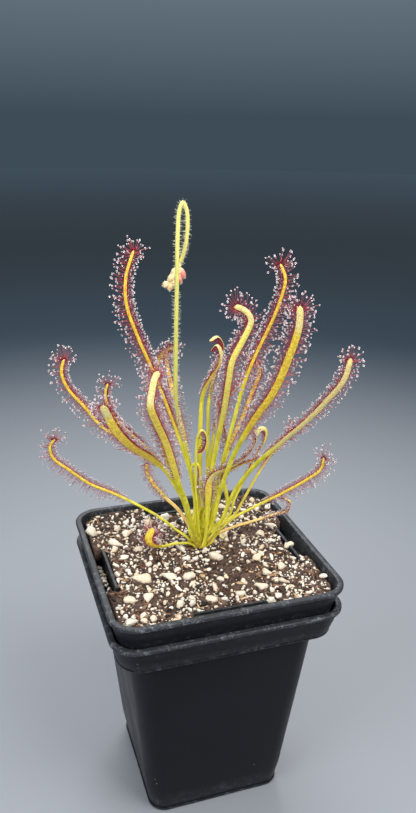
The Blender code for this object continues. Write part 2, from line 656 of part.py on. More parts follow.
def section_size(length, total, width, blade_from):
    """Half width and half thickness of a leaf at a length along it."""
    share = length / total
    if share < blade_from:
        opened = 0.0
    else:
        opened = min(1.0, (share - blade_from) / BLADE_OPENS)
    petiole = min(PETIOLE_WIDTH, width * PETIOLE_SHARE)
    petiole = ROOT_WIDTH + (petiole - ROOT_WIDTH) * min(1.0, length / ROOT_STRETCH)
    half = (petiole + (width - petiole) * opened) / 2
    thick = (PETIOLE_THICK + (BLADE_THICK - PETIOLE_THICK) * opened) / 2
    if share > TIP_FROM:
        half *= 1 - TIP_FALL * (share - TIP_FROM)
    return half, thick


def leaf_ring(frame, half, thick):
    point, tangent, side, face, length = frame
    return [place(point + side * half * a + face * thick * b) for a, b in LEAF_OUTLINE]


def place(point):
    """A point in mm from the tuft's point, in the part's own metres."""
    return mm(point.x + TUFT_X, point.y + TUFT_Y, point.z + SOIL_Z)


def tentacle_rings(root, direction, length):
    """A three-sided stalk with a drop at its tip."""
    across = direction.orthogonal().normalized()
    other = direction.cross(across)
    rings = []
    for radius, along in ((TENTACLE_RADIUS, 0), (TENTACLE_RADIUS, length - DROP_LENGTH),
                          (DROP_RADIUS, length - DROP_LENGTH * 0.45)):
        centre = root + direction * along
        ring = []
        for step in range(3):
            angle = math.radians(120 * step)
            ring.append(place(centre + (across * math.cos(angle) + other * math.sin(angle)) * radius))
        rings.append(ring)
    rings.append([place(root + direction * length)])
    return rings


def segment_distance(a, b, c, d):
    """Least distance between the stretches a-b and c-d, read at a few places along the first."""
    best = 1e9
    line = d - c
    size = line.length_squared
    for i in range(5):
        point = a.lerp(b, i / 4)
        share = 0.0 if size == 0 else max(0.0, min(1.0, (point - c).dot(line) / size))
        best = min(best, (point - (c + line * share)).length)
    return best


def on_blade(picked, wanted):
    """The frame at a length along the faceted leaf: straight between its sections."""
    for last, now in zip(picked[:-1], picked[1:]):
        if wanted <= now[4]:
            share = (wanted - last[4]) / (now[4] - last[4])
            point = last[0].lerp(now[0], share)
            side = last[2].lerp(now[2], share).normalized()
            tangent = (now[0] - last[0]).normalized()
            return point, tangent, side, tangent.cross(side), wanted
    return picked[-1]


def tentacle_places(picked, width, blade_from):
    """Root, direction and length of each tentacle: along both margins, on the face, and round the tip."""
    total = picked[-1][4]
    start = total * blade_from + BLADE_BARE
    stretch = total - TIP_BARE - start
    count = max(3, round(stretch / TENTACLE_PITCH))
    if width < NARROW_BLADE:
        count = 2
    found = []
    for i in range(count):
        for offset, across, on_face in TENTACLE_ROWS:
            if on_face and i % 2:
                continue
            point, tangent, side, face, length = on_blade(picked, start + stretch * (i + offset) / count)
            half, thick = section_size(length, total, width, blade_from)
            if on_face:
                direction = (face + side * across * 1.2 + tangent * 0.15).normalized()
                found.append((point + side * half * across, direction, FACE_TENTACLE, length))
            else:
                direction = (side * across + face * 0.12 + tangent * 0.2).normalized()
                root = point + side * across * (half - TENTACLE_SUNK)
                found.append((root, direction, MARGIN_TENTACLE, length))
    point, tangent, side, face, length = on_blade(picked, total)
    for spread in (-50, 0, 50):
        angle = math.radians(spread)
        direction = (tangent * math.cos(angle) + side * math.sin(angle) + face * 0.15).normalized()
        found.append((point - tangent * TENTACLE_SUNK, direction, MARGIN_TENTACLE, length))
    return found


def make_leaf(number, leaf, track, bodies, grown, finish, parts):
    """A strap leaf with its tentacles; those that would touch another leaf are left out."""
    name = "leaf_%02d" % (number + 1)
    total = track[-1][4]
    bm = bmesh.new()
    rings = []
    picked = stations(track)
    for frame in picked:
        half, thick = section_size(frame[4], total, leaf.width, leaf.blade_from)
        rings.append(leaf_ring(frame, half, thick))
    loft(bm, rings)
    made = add_object(name, bm, parts, finish)
    tentacles = []
    for root, direction, length, along in tentacle_places(picked, leaf.width, leaf.blade_from):
        start = root + direction * FREE_FROM
        tip = root + direction * length
        if not clear_of_others(number, start, tip, along, bodies, grown):
            continue
        grown.append((start, tip))
        bm = bmesh.new()
        loft(bm, tentacle_rings(root, direction, length))
        tentacles.append(add_object("%s_tentacle_%02d" % (name, len(tentacles) + 1), bm, parts))
    fuse(made, tentacles, name + "_tentacles")
    return made


def half_widths(track, leaf):
    """A track's points with the half width of its leaf there, every 1.5 mm or so."""
    total = track[-1][4]
    if leaf is None:
        return [(frame[0], STALK_RADIUS, frame[4]) for frame in track[::3]]
    return [(frame[0], section_size(frame[4], total, leaf.width, leaf.blade_from)[0], frame[4])
            for frame in track[::3]]


def clear_of_others(number, start, tip, along, bodies, grown):
    """True where a tentacle keeps off the pot and soil, the leaves, its own leaf and other tentacles."""
    spot = place(tip) / MM
    if spot.z < SOIL_Z + SOIL_CLEAR:
        return False
    if spot.z < POT_NEST + POT_HEIGHT + RIM_CLEAR and max(abs(spot.x), abs(spot.y)) > RIM_INSIDE:
        return False
    for first, second in grown:
        if segment_distance(start, tip, first, second) < TENTACLE_APART:
            return False
    middle = start.lerp(tip, 0.5)
    for other, body in enumerate(bodies):
        for point, half, length in body:
            if other == number and abs(length - along) < OWN_STRETCH:
                continue
            reach = half + TENTACLE_CLEAR
            if min((start - point).length, (middle - point).length, (tip - point).length) < reach:
                return False
    return True


def full_track(azimuth, root, spine, turns=(0, 0)):
    """The frames of a leaf or the stalk from the crown to its tip."""
    return frames(smooth_curve(spine_points(azimuth, root, spine)), azimuth, root[0], turns)


def make_leaves(finish, parts):
    """All the leaves. Hands back the stalk's track, which they keep clear of."""
    tracks = [full_track(leaf.azimuth, leaf.root, leaf.spine, leaf.turns) for leaf in LEAVES]
    stalk = full_track(STALK_AZIMUTH, STALK_ROOT, STALK_SPINE)
    bodies = [half_widths(track, leaf) for track, leaf in zip(tracks, LEAVES)]
    bodies.append(half_widths(stalk, None))
    grown = []
    for number, leaf in enumerate(LEAVES):
        make_leaf(number, leaf, tracks[number], bodies, grown, finish, parts)
    return stalk


# Flower stalk and buds

def make_stalk(track, finish, parts):
    """The nodding flower stalk, six-sided, a little thinner towards its tip."""
    total = track[-1][4]
    bm = bmesh.new()
    rings = []
    for point, tangent, side, face, length in stations(track):
        radius = STALK_RADIUS * (1.0 - STALK_TAPER * length / total)
        ring = []
        for step in range(6):
            angle = math.radians(60 * step)
            ring.append(place(point + (side * math.cos(angle) + face * math.sin(angle)) * radius))
        rings.append(ring)
    loft(bm, rings)
    return add_object("flower_stalk", bm, parts, finish)


def make_buds(finish, parts):
    """Buds packed along the last stretch of the stalk, the two largest on its inner side."""
    points = spine_points(STALK_AZIMUTH, STALK_ROOT, BUD_SPINE)[2:]
    track = frames(smooth_curve(points), STALK_AZIMUTH, STALK_AZIMUTH)
    bm = bmesh.new()
    rings = []
    for point, tangent, side, face, length in track[::4]:
        ring = []
        for step in range(5):
            angle = math.radians(72 * step)
            ring.append(place(point + (side * math.cos(angle) + face * math.sin(angle)) * BUD_AXIS_RADIUS))
        rings.append(ring)
    loft(bm, rings)
    axis = add_object("flower_buds", bm, parts, finish)
    buds = []
    for number, (foot, tip, sideways) in enumerate(BUDS):
        ends = spine_points(STALK_AZIMUTH, STALK_ROOT, ((*foot, sideways), (*tip, sideways)))[2:]
        length = (ends[1] - ends[0]).length
        bud = bmesh.new()
        bmesh.ops.create_icosphere(bud, subdivisions=1, radius=1.0)
        bmesh.ops.scale(bud, vec=mm(BUD_RADIUS, BUD_RADIUS, length / 2), verts=bud.verts)
        turn = (ends[1] - ends[0]).to_track_quat("Z", "Y").to_matrix()
        bmesh.ops.rotate(bud, matrix=turn, verts=bud.verts)
        bmesh.ops.translate(bud, vec=place(ends[0].lerp(ends[1], 0.5)), verts=bud.verts)
        buds.append(add_object("bud_%d" % (number + 1), bud, parts))
    fuse(axis, buds, "buds")
    return axis


def main():
    clear_scene()
    parts = new_collection("potted_sundew")
    cutters = new_collection("cutters")
    finishes = {
        "plastic": material("black_plastic", (0.016, 0.018, 0.021), 0.45),
        "soil": material("peat_and_perlite", (0.11, 0.07, 0.045), 0.95),
        "crown": material("leaf_bases", (0.42, 0.46, 0.06), 0.55),
        "leaf": material("sundew_leaf", (0.62, 0.50, 0.06), 0.5),
        "stalk": material("flower_stalk", (0.50, 0.58, 0.16), 0.6),
        "bud": material("flower_bud", (0.85, 0.52, 0.40), 0.6),
        "withered": material("withered_leaf", (0.30, 0.17, 0.08), 0.85),
    }
    make_pot("outer_pot", 0.0, finishes["plastic"], parts, cutters)
    make_pot("inner_pot", POT_NEST, finishes["plastic"], parts, cutters)
    make_soil(finishes["soil"], parts, cutters)
    make_dry_leaf(finishes["withered"], parts)
    make_crown(finishes["crown"], parts)
    stalk = make_leaves(finishes["leaf"], parts)
    make_stalk(stalk, finishes["stalk"], parts)
    make_buds(finishes["bud"], parts)


main()
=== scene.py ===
"""Looks of the potted sundew: fine leaves with their tentacles and dew, stalk, soil and both pots.

Shapes are worked out in millimetres in the frame's own axes and become metres when a mesh is made.
"""
import math
import random
from collections import namedtuple

import bmesh
import bpy
import numpy as np
from mathutils import Matrix, Vector, noise


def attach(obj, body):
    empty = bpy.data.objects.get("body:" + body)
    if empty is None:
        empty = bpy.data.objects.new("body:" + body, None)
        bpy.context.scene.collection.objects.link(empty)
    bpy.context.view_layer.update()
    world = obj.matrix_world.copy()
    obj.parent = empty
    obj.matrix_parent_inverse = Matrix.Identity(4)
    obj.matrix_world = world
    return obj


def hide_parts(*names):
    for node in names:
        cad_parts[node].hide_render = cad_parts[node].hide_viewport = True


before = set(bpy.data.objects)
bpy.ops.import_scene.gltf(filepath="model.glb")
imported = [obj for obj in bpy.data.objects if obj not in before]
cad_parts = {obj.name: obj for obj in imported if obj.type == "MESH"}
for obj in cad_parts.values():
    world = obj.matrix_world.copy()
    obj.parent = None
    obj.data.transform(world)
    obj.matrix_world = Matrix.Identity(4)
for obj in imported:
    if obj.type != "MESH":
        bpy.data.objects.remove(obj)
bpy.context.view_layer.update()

MM = 0.001
ROOT_BODY = "root"

# Camera, as fitted to the pots' corners
CAMERA_PLACE = (-82.36, -252.8, 264.35)
CAMERA_YAW = math.radians(18.43)
CAMERA_PITCH = math.radians(20.77)
CAMERA_ROLL = math.radians(1.06)
CAMERA_LENS = 33.87

# Pots, rounder at the lips and corners than the solids: half widths, and heights from their undersides
POT_HEIGHT = 93.8
POT_NEST = 9.3
LIP_HALF = 44.5
LIP_THICK = 1.5
LIP_ROUND = 0.55
LIP_OPENING = 42.0
LIP_CORNER = 10.3
BAND_TOP_HALF = 43.4
BAND_FOOT_HALF = 41.4
BAND_FOOT_CORNER = 9.3
BAND_FOOT_INNER = 40.1
SHOULDER_Z = 82.3
SHOULDER_THICK = 0.8
BODY_TOP_HALF = 36.6
BODY_TOP_CORNER = 8.5
BODY_FOOT_HALF = 27.9
BODY_FOOT_CORNER = 7.0
BODY_WALL = 0.65
WALL_STEPS = 8
FLOOR_THICK = 1.2
FOOT_ROUND = 0.8
BAND_ROUND = 0.5
SHOULDER_FILLET = 0.3
FILLET_CORNER = 0.2
LIP_EDGE = 0.2
CORNER_STEPS = 12
SIDE_STEPS = 12
SLOT_LENGTH = 28.0
SLOT_HEIGHT = 8.8
SLOT_RIB = 1.0
RIB_INSET = 0.53
RIB_TRIM = 0.2
DRAIN_RADIUS = 4.0
DRAIN_OFFSET = 15.0

# Soil and what lies in it
SOIL_Z = 98.5
SOIL_RISE = 1.2
SOIL_TILT = 0.022
RISE_STRETCH = 22.0
SOIL_MOUND = 0.8
MOUND_REACH = 22.0
SOIL_RELIEF = 0.7
WAVE_PITCH = (0.09, 0.23)
CALM_RADIUS = 9.0
SOIL_HALF = 40.55
SOIL_CORNER = 7.7
SLOT_START = 35.57
SLOT_HALF = 14.3
SLOT_FLOOR = 92.8
SLOT_SHADE_FULL_Z = 94.8          # painted shade: the peat of the slots goes from dark to light between these heights
SLOT_SHADE_END_Z = 97.4
SOIL_CELL = 0.55
SOIL_GAP = 0.3
SOIL_CHAMFER = 0.2
BANK_START = 34.0
BANK_WIDTH = 6.5
BANK_RISE = 1.5
# Pitch, layer and height of the crumbs' three waves, the last of which only rises
CRUMB_WAVES = ((0.55, 1.0, 0.55), (1.3, 5.0, 0.42), (2.3, 9.0, 0.4))
# Where lumps may lie, the patch that perlite leaves bare, the lumps' shapes and how many of each kind
SPOT_HALF = 40.0
SPOT_MARGIN = 1.015
CROWN_CLEAR = 4.2
BARE_X = 10
BARE_Y = -9
BARE_REACH = 15
LUMP_CUTS = 9
CUT_DISTANCE = 0.60
FINE_LUMPS = 14             # the first of the ALL_LUMPS shapes of perlite, with smaller faces
ALL_LUMPS = 24
CLOD_LUMPS = 10
CHIP_LUMPS = 8
# Least half size, how the sizes spread above it, and the greatest
PERLITE_SIZES = (0.30, 0.50, 2.6)
CLOD_SIZES = (0.25, 0.33, 1.6)
PERLITE_TRIES = 30000
SLOT_GRAINS = 34
PERLITE = 1400
CLODS = 1500
CHIPS = 420
FIBRES = 110
FIBRE_RADIUS = 0.24
FIBRE_POINTS = 8
DRY_HALF = 1.25
DRY_POINTS = 12

# Crown and tuft
CROWN_X = 2.5
CROWN_Y = 8.5
CROWN_FOOT_RADIUS = 3.0
CROWN_TOP_RADIUS = 2.3
CROWN_TOP = 12.5
CROWN_DEPTH = 5.0
CROWN_RINGS = 16
CROWN_POINTS = 48
TOP_ROOT_RADIUS = 1.2
TUFT_X = 4.0
TUFT_Y = 8.0
TUFT = Vector((TUFT_X, TUFT_Y, SOIL_Z))
ROOT_GAP = 0.5
SHEATH_FOOT = -1.2
SHEATH_STEP = 3.0

# Leaves
PETIOLE_WIDTH = 1.8
PETIOLE_SHARE = 0.58
PETIOLE_THICK = 1.0
ROOT_WIDTH = 1.5
ROOT_STRETCH = 9.0
BLADE_THICK = 0.8
BLADE_SHARE = 0.78          # of the width in the table, because the red fringe adds to what is seen
BLADE_OPENS = 0.16
TURN_BY = 0.42
ROOT_EASE = 12.0
SHEATH_WIDTH = 2.8
LEAST_WIDTH = 0.25
CURVE_STEP = 0.85
RING_POINTS = 16
TUBE_SIDES = 3
TENTACLE_RADII = [0.09 * share for share in (1.6, 1.0, 0.65, 0.6)]
FOLDED_LENGTH = 1.3
GLAND_RADIUS = 0.19
DROP_RADIUS = 0.39
TIP_LENGTH = 5.4
TIP_COUNT = 20
TIP_SPREAD = math.radians(95)
# Rows of tentacles on each half of a blade: place across it, pitch, least and greatest length, then least
# and greatest lean towards the face
TENTACLE_ROWS = ((1.0, 1.2, 3.2, 4.8, -0.25, 0.45), (0.9, 1.2, 2.1, 3.7, 0.0, 0.8),
                 (0.72, 1.2, 1.4, 3.0, 0.3, 1.3), (0.4, 2.1, 1.0, 1.8, 1.5, 3.0),
                 (0.0, 3.0, 0.8, 1.5, 3.0, 6.0))
ROWS_FROM = 0.03            # share of the length past the blade's start, as is ROWS_GROW
ROWS_GROW = 0.22
ROWS_END = 0.5
INNER_LENGTH = 0.5          # on the side with the broad red zone, against the other side

# Flower stalk and buds
STALK_RADIUS = 0.9
STALK_TAPER = 0.22
STALK_POINTS = 14
STALK_HAIRS = 900
STALK_HAIR_RADIUS = 0.065
HAIR_TAPER = (1.0, 0.7, 0.35)
BUD_HAIR_RADIUS = 0.05
BUD_RADIUS = 1.15
BUD_AXIS_RADIUS = 0.7
BUD_AXIS_POINTS = 12

# Floor and lights in metres, with each light's size, watts and colour
FLOOR_RADIUS = 4.0
FLOOR_POINTS = 96
FLOOR_DROP = 0.0002
LIGHT_AIM = (0.0, 0.0, 0.13)
LIGHTS = (("key", (0.30, -0.45, 0.75), 0.45, 6.5, (1.0, 0.98, 0.95)),
          ("front", (-0.20, -0.80, 0.22), 0.60, 2.8, (1.0, 0.99, 0.97)),
          ("fill", (-0.70, -0.25, 0.55), 0.55, 5.0, (0.94, 0.97, 1.0)),
          ("back", (0.10, 0.60, 0.75), 0.50, 7.0, (1.0, 1.0, 1.0)))
# Height and colour of the surround's stops, from the horizon up
SKY = ((0.0, (0.060, 0.090, 0.118)), (0.13, (0.150, 0.205, 0.245)), (0.30, (0.17, 0.19, 0.21)),
       (0.85, (1.0, 1.0, 1.0)))
SKY_STRENGTH = 0.8

# Leaf: compass direction it leans to, (azimuth, height) of its root on the crown, blade width, share of
# the length that is petiole, the turns of its section about its own line at TURN_BY and at the tip, then
# its looks: how broad the red zone is and on which side, the share of the length that is pale at the tip,
# the share from which its tentacles are still folded in, how long they are, and how pink the petiole is
# or, below zero, how far the blade goes from gold to straw. The stations of its spine are (reach, rise)
# from the tuft's point, with the distance to the side where there is any.
Leaf = namedtuple("Leaf", "azimuth root width blade_from turns ruddy pale folded reach blush spine")
Station = namedtuple("Station", "point tangent side face length")
LEAF_LOOKS = ("across", "facing", "along", "opened", "curl", "ruddy", "pale", "blush")

LEAVES = (
    Leaf(192, (196, 10.2), 2.4, 0.30, (88, 88), 0.5, 0.0, 1.0, 1.0, 0.0,
         ((4, 18, -1), (6, 33, -1), (9, 43, -1), (15, 61, -1), (22, 79, -1), (28, 93, -1), (32, 105, -1),
          (32, 114, -1), (29, 123, -1))),
    Leaf(177, (180, 6.0), 2.2, 0.42, (98, 92), 0.4, 0.0, 1.0, 0.9, 0.0,
         ((7, 16), (11, 29), (22, 42), (33, 51), (41, 58), (46, 65), (52, 73), (54, 79), (53, 84))),
    Leaf(214, (208, 3.8), 4.8, 0.50, (37, 37), 0.12, 0.06, 1.0, 0.7, -0.25,
         ((8, 10), (13, 25), (19, 37), (31, 50), (42, 59), (49, 67), (53, 74), (55, 78))),
    Leaf(148, (150, 4.4), 2.1, 0.42, (100, 100), 0.36, 0.0, 1.0, 0.85, 0.0,
         ((7, 13), (11, 23), (23, 40), (31, 47), (36, 51), (40, 57), (41, 63), (40, 67))),
    Leaf(162, (156, 1.6), 1.9, 0.40, (112, 118), 0.3, 0.0, 1.0, 0.9, 0.1,
         ((7, 4), (12, 8), (18, 13), (26, 18), (37, 24), (46, 28), (54, 34), (60, 39), (61, 44),
          (59, 47))),
    Leaf(185, (192, 1.6), 4.6, 0.50, (50, 58), 0.14, 0.0, 1.0, 1.0, 0.1,
         ((7, 3), (13, 4), (19, 4), (23, 6), (24, 9), (22, 13))),
    Leaf(127, (120, 1.6), 2.4, 0.50, (-50, -50), 0.1, 0.0, 1.0, 0.5, 0.7,
         ((8, 7), (14, 13), (20, 16), (26, 20), (30, 25), (30, 29))),
    Leaf(229, (238, 4.6), 3.6, 0.42, (32, 32), 0.12, 0.12, 1.0, 0.75, -0.4,
         ((12, 14), (18, 28), (24, 38), (29, 48), (36, 61), (43, 71), (47, 78), (46, 82), (44, 86),
          (41, 88))),
    Leaf(130, (122, 5.8), 2.8, 0.36, (-55, -55), 0.2, 0.04, 1.0, 0.75, 0.2,
         ((8, 14), (13, 24), (19, 35), (22, 45), (25, 57), (25, 68), (23, 76), (19, 81), (15, 83))),
    Leaf(98, (76, 7.2), 2.8, 0.38, (-26, -26), 0.2, 0.0, 1.0, 0.75, 0.2,
         ((8, 18), (15, 31), (22, 43), (30, 53), (36, 62), (39, 68), (39, 73))),
    Leaf(316, (316, 10.2), 2.5, 0.52, (-92, -92), -0.5, 0.0, 1.0, 1.0, 0.0,
         ((4, 18), (5, 30), (9, 47), (12, 60), (15, 73), (19, 85), (25, 99), (28, 108), (29, 114),
          (27, 119))),
    Leaf(291, (298, 7.2), 3.7, 0.42, (-42, -42), -0.1, 0.07, 1.0, 1.0, 0.0,
         ((6, 16), (8, 25), (11, 34), (18, 50), (27, 65), (36, 78), (42, 91), (46, 103), (46, 110))),
    Leaf(342, (274, 10.2), 3.2, 0.44, (-90, -90), -0.14, 0.08, 1.0, 0.9, -0.7,
         ((1.6, 20, -5), (2.6, 38, -7), (4, 50, -9.5), (6, 65, -15.5), (7.3, 80, -22.5), (8.3, 88, -25),
          (11.3, 95, -26), (13.3, 99.4, -26), (14.1, 102.4, -26), (13.2, 104.5, -26), (11.8, 105.8, -26),
          (10, 106.7, -26), (8.3, 106.9, -26))),
    Leaf(300, (150, 12.8), 2.9, 0.62, (-48, 20), -0.1, 0.1, 0.9, 0.6, -0.7,
         ((-1, 20, -1), (-3, 36), (-3, 56), (-2, 66), (2, 74), (6, 80), (7, 84), (5, 87), (2, 84))),
    Leaf(27, (50, 12.8), 2.4, 0.60, (0, 0), -0.2, 0.08, 0.84, 0.6, -0.6,
         ((2, 20, 1), (2, 36, 1), (2, 54, 1), (2, 62, 1), (5, 72, 1), (8, 79, 1), (9, 84, 1), (6, 88, 1),
          (2, 87, 1))),
    Leaf(174, (242, 7.6), 2.1, 0.70, (0, 0), 0.0, 0.0, 0.0, 0.35, -1.0,
         ((4, 19, 5), (5, 30, 6), (5, 47, 6), (4.5, 52, 6), (3, 54.5, 6), (1.4, 52.5, 6), (1.4, 48, 6),
          (3, 46, 7), (5, 46, 8))),
    Leaf(154, (224, 10.2), 2.1, 0.66, (0, 0), 0.0, 0.0, 0.0, 0.35, -1.0,
         ((3, 19, 4), (4, 28, 5), (5, 35, 5), (4.2, 39, 5), (2.6, 39.5, 5), (1.6, 37, 5), (1.6, 31, 5),
          (1.8, 26, 5))),
    Leaf(34, (38, 7.2), 2.6, 0.40, (-20, -20), -0.2, 0.0, 1.0, 0.6, 0.1,
         ((7, 18), (11, 26), (13, 35), (13, 43), (11, 50), (8, 58), (7, 63))),
    Leaf(358, (310, 12.8), 3.0, 0.48, (0, 0), -0.7, 0.12, 0.56, 0.55, 0.0,
         ((1, 20, -1), (1, 30, -1), (2, 44, -1), (4, 56, -1), (8, 65, -1), (13, 71, -1), (17, 76, -1),
          (17, 79, -1), (15, 82, -1))),
    Leaf(17, (5, 10.2), 2.8, 0.42, (35, 35), -0.35, 0.0, 1.0, 0.8, 0.1,
         ((4, 18), (6, 28), (11, 41), (18, 53), (23, 64), (26, 71), (24, 76))),
    Leaf(304, (300, 4.0), 3.1, 0.46, (-46, -54), -0.12, 0.45, 1.0, 0.7, -0.8,
         ((8, 14), (14, 29), (22, 42), (34, 56), (44, 67), (51, 76), (57, 85), (59, 93))),
    Leaf(0, (348, 5.8), 2.2, 0.56, (-60, -60), -0.2, 0.0, 1.0, 0.65, 0.3,
         ((13, 13), (16, 18), (22, 29), (27, 37), (34, 44), (36, 50))),
    Leaf(328, (324, 1.6), 1.9, 0.46, (-100, -106), -0.3, 0.0, 1.0, 0.85, 0.2,
         ((6, 8), (12, 15), (20, 21), (31, 29), (40, 36), (45, 41), (46, 46))),
    Leaf(354, (356, 2.2), 2.2, 0.54, (0, 0), 0.2, 0.0, 1.0, 0.5, 0.7,
         ((7, 6), (13, 8), (22, 10), (30, 12), (35, 13), (36, 17), (33, 19))),
    Leaf(14, (20, 4.4), 2.8, 0.46, (-48, -48), -0.1, 0.1, 0.80, 0.5, -0.3,
         ((12, 11), (14, 17), (19, 26), (24, 35), (29, 42), (29, 46), (26, 47), (24, 44))),
    Leaf(342, (268, 1.6), 4.0, 0.30, (-80, 15), -0.05, 0.46, 1.0, 0.75, -0.3,
         ((0.5, 8, -4.5), (1, 18, -6.5), (1.2, 28, -8), (1.5, 33, -8.5), (3.4, 36.8, -8.5),
          (7.5, 39, -8.5), (12, 41.7, -8.5), (15, 44.4, -8.5), (17.6, 48, -8.5), (18.8, 51.5, -8.5),
          (18.3, 54.5, -8.5), (16.8, 57, -8.5))),
    Leaf(342, (336, 8.0), 2.8, 0.50, (-50, -50), -0.3, 0.0, 1.0, 0.55, 0.2,
         ((8, 14), (9, 20), (8, 27), (7, 32), (10, 35), (15, 38), (20, 40))),
)

STALK_AZIMUTH = 154
STALK_ROOT = (106, 10.2)
STALK_SPINE = ((3, 18, -2), (5, 28, -2), (8, 40, -2), (11, 52, -1), (12, 64), (12, 92), (11.7, 110),
               (11.5, 126), (10.9, 134.6), (9.7, 137.5), (8.4, 134.4, -1), (8.4, 127, -2), (9.5, 120.6, -3),
               (11, 116, -4))
BUD_SPINE = ((11.15, 115.65, -4), (12.6, 112.6, -4), (13.8, 110.2, -4), (14.8, 108.4, -4), (16, 107.3, -4))
# Each bud's foot and tip as (reach, rise), then how far to the side it sits
BUDS = (((11.8, 113.8), (9.6, 110.0), -4.3), ((12.9, 111.9), (10.7, 108.2), -3.8),
        ((12.4, 113.4), (14.6, 110.7), -4.7), ((13.4, 111.1), (15.7, 108.6), -3.7),
        ((13.8, 110.0), (13.9, 106.5), -4.2), ((14.6, 108.4), (15.3, 105.0), -4.1),
        ((15.1, 107.9), (17.8, 106.8), -3.8))

# Larger pale grains: (x, y, length, width)
LARGE_GRAINS = ((-26, -10, 9, 6), (-9, -13, 6, 5), (-16, -11, 6, 5), (-27, -21, 5, 4), (-34, -21, 5, 4),
                (-17, -29, 4, 4), (-28, -34, 4, 3), (-28, 29, 6, 4), (-25, 24, 7, 4), (-31, 18, 8, 4),
                (16, -26, 7, 4), (21, -18, 5, 4), (7, -28, 5, 4), (-5, -29, 6, 4), (38, -13, 4, 3),
                (37, -3, 5, 4), (36, 14, 5, 4), (29, 9, 5, 4), (-30, 7, 5, 4), (20, 28, 5, 4), (6, 34, 5, 4))

DRY_LEAF = ((13, 18, 0.3), (13.5, 15, 0), (13, 11.5, 0), (12, 8, 1.0))
FIBRE = ((-7, 4), (-8, 0), (-9.5, -4), (-10, -8), (-11, -12))


# Node materials

SHADER_INPUTS = {"color": "Base Color", "rough": "Roughness", "specular": "Specular IOR Level", "ior": "IOR",
                 "clear": "Transmission Weight", "inside": "Subsurface Weight",
                 "inside_scale": "Subsurface Scale", "inside_radius": "Subsurface Radius"}


class Graph:
    """A material's node tree, with one short call for each kind of node."""

    def __init__(self, name):
        self.material = bpy.data.materials.new(name)
        self.material.use_nodes = True
        self.tree = self.material.node_tree
        self.shader = self.tree.nodes["Principled BSDF"]

    def link(self, value, socket):
        if isinstance(value, bpy.types.NodeSocket):
            self.tree.links.new(value, socket)
        elif isinstance(value, tuple) and len(value) == 3 and socket.type == "RGBA":
            socket.default_value = (*value, 1.0)
        else:
            socket.default_value = value

    def node(self, kind, output, inputs, **settings):
        """One output of a new node, made with its settings and inputs."""
        node = self.tree.nodes.new("ShaderNode" + kind)
        for name, value in settings.items():
            setattr(node, name, value)
        for key, value in inputs.items():
            self.link(value, node.inputs[key])
        return node.outputs[output]

    def attribute(self, name):
        return self.node("Attribute", "Fac", {}, attribute_name=name)

    def place(self, scale=(1, 1, 1)):
        spot = self.node("TexCoord", "Object", {})
        return self.node("Mapping", "Vector", {"Vector": spot, "Scale": scale})

    def height(self):
        """How high a point lies, in metres."""
        return self.node("SeparateXYZ", "Z", {"Vector": self.place()})

    def noise(self, scale, detail=3.0, rough=0.55, at=None):
        return self.node("TexNoise", "Fac", {"Scale": scale, "Detail": detail, "Roughness": rough,
                                             "Vector": at or self.place()})

    def cells(self, scale):
        return self.node("TexVoronoi", "Distance", {"Scale": scale, "Vector": self.place()})

    def math(self, operation, first, second=0.0):
        return self.node("Math", 0, {0: first, 1: second}, operation=operation)

    def plus(self, first, second):
        return self.math("ADD", first, second)

    def times(self, first, second):
        return self.math("MULTIPLY", first, second)

    def between(self, value, low, high, start=0.0, end=1.0):
        """value taken smoothly from start to end as it goes from low to high."""
        return self.node("MapRange", "Result", {"Value": value, "From Min": low, "From Max": high,
                                                "To Min": start, "To Max": end},
                         interpolation_type="SMOOTHSTEP")

    def mix(self, share, first, second):
        return self.node("Mix", "Result", {"Factor": share, "A": first, "B": second}, data_type="RGBA")

    def layer(self, under, value, low, high, over, start=0.0, end=1.0):
        """The colour under with over laid on it, by a share that follows value from low to high."""
        return self.mix(self.between(value, low, high, start, end), under, over)

    def bump(self, height, strength, distance):
        made = self.node("Bump", "Normal", {"Height": height, "Strength": strength, "Distance": distance})
        self.link(made, self.shader.inputs["Normal"])

    def set(self, **values):
        """The material, with values given to its shader by their short names."""
        for name, value in values.items():
            self.link(value, self.shader.inputs[SHADER_INPUTS[name]])
        return self.material


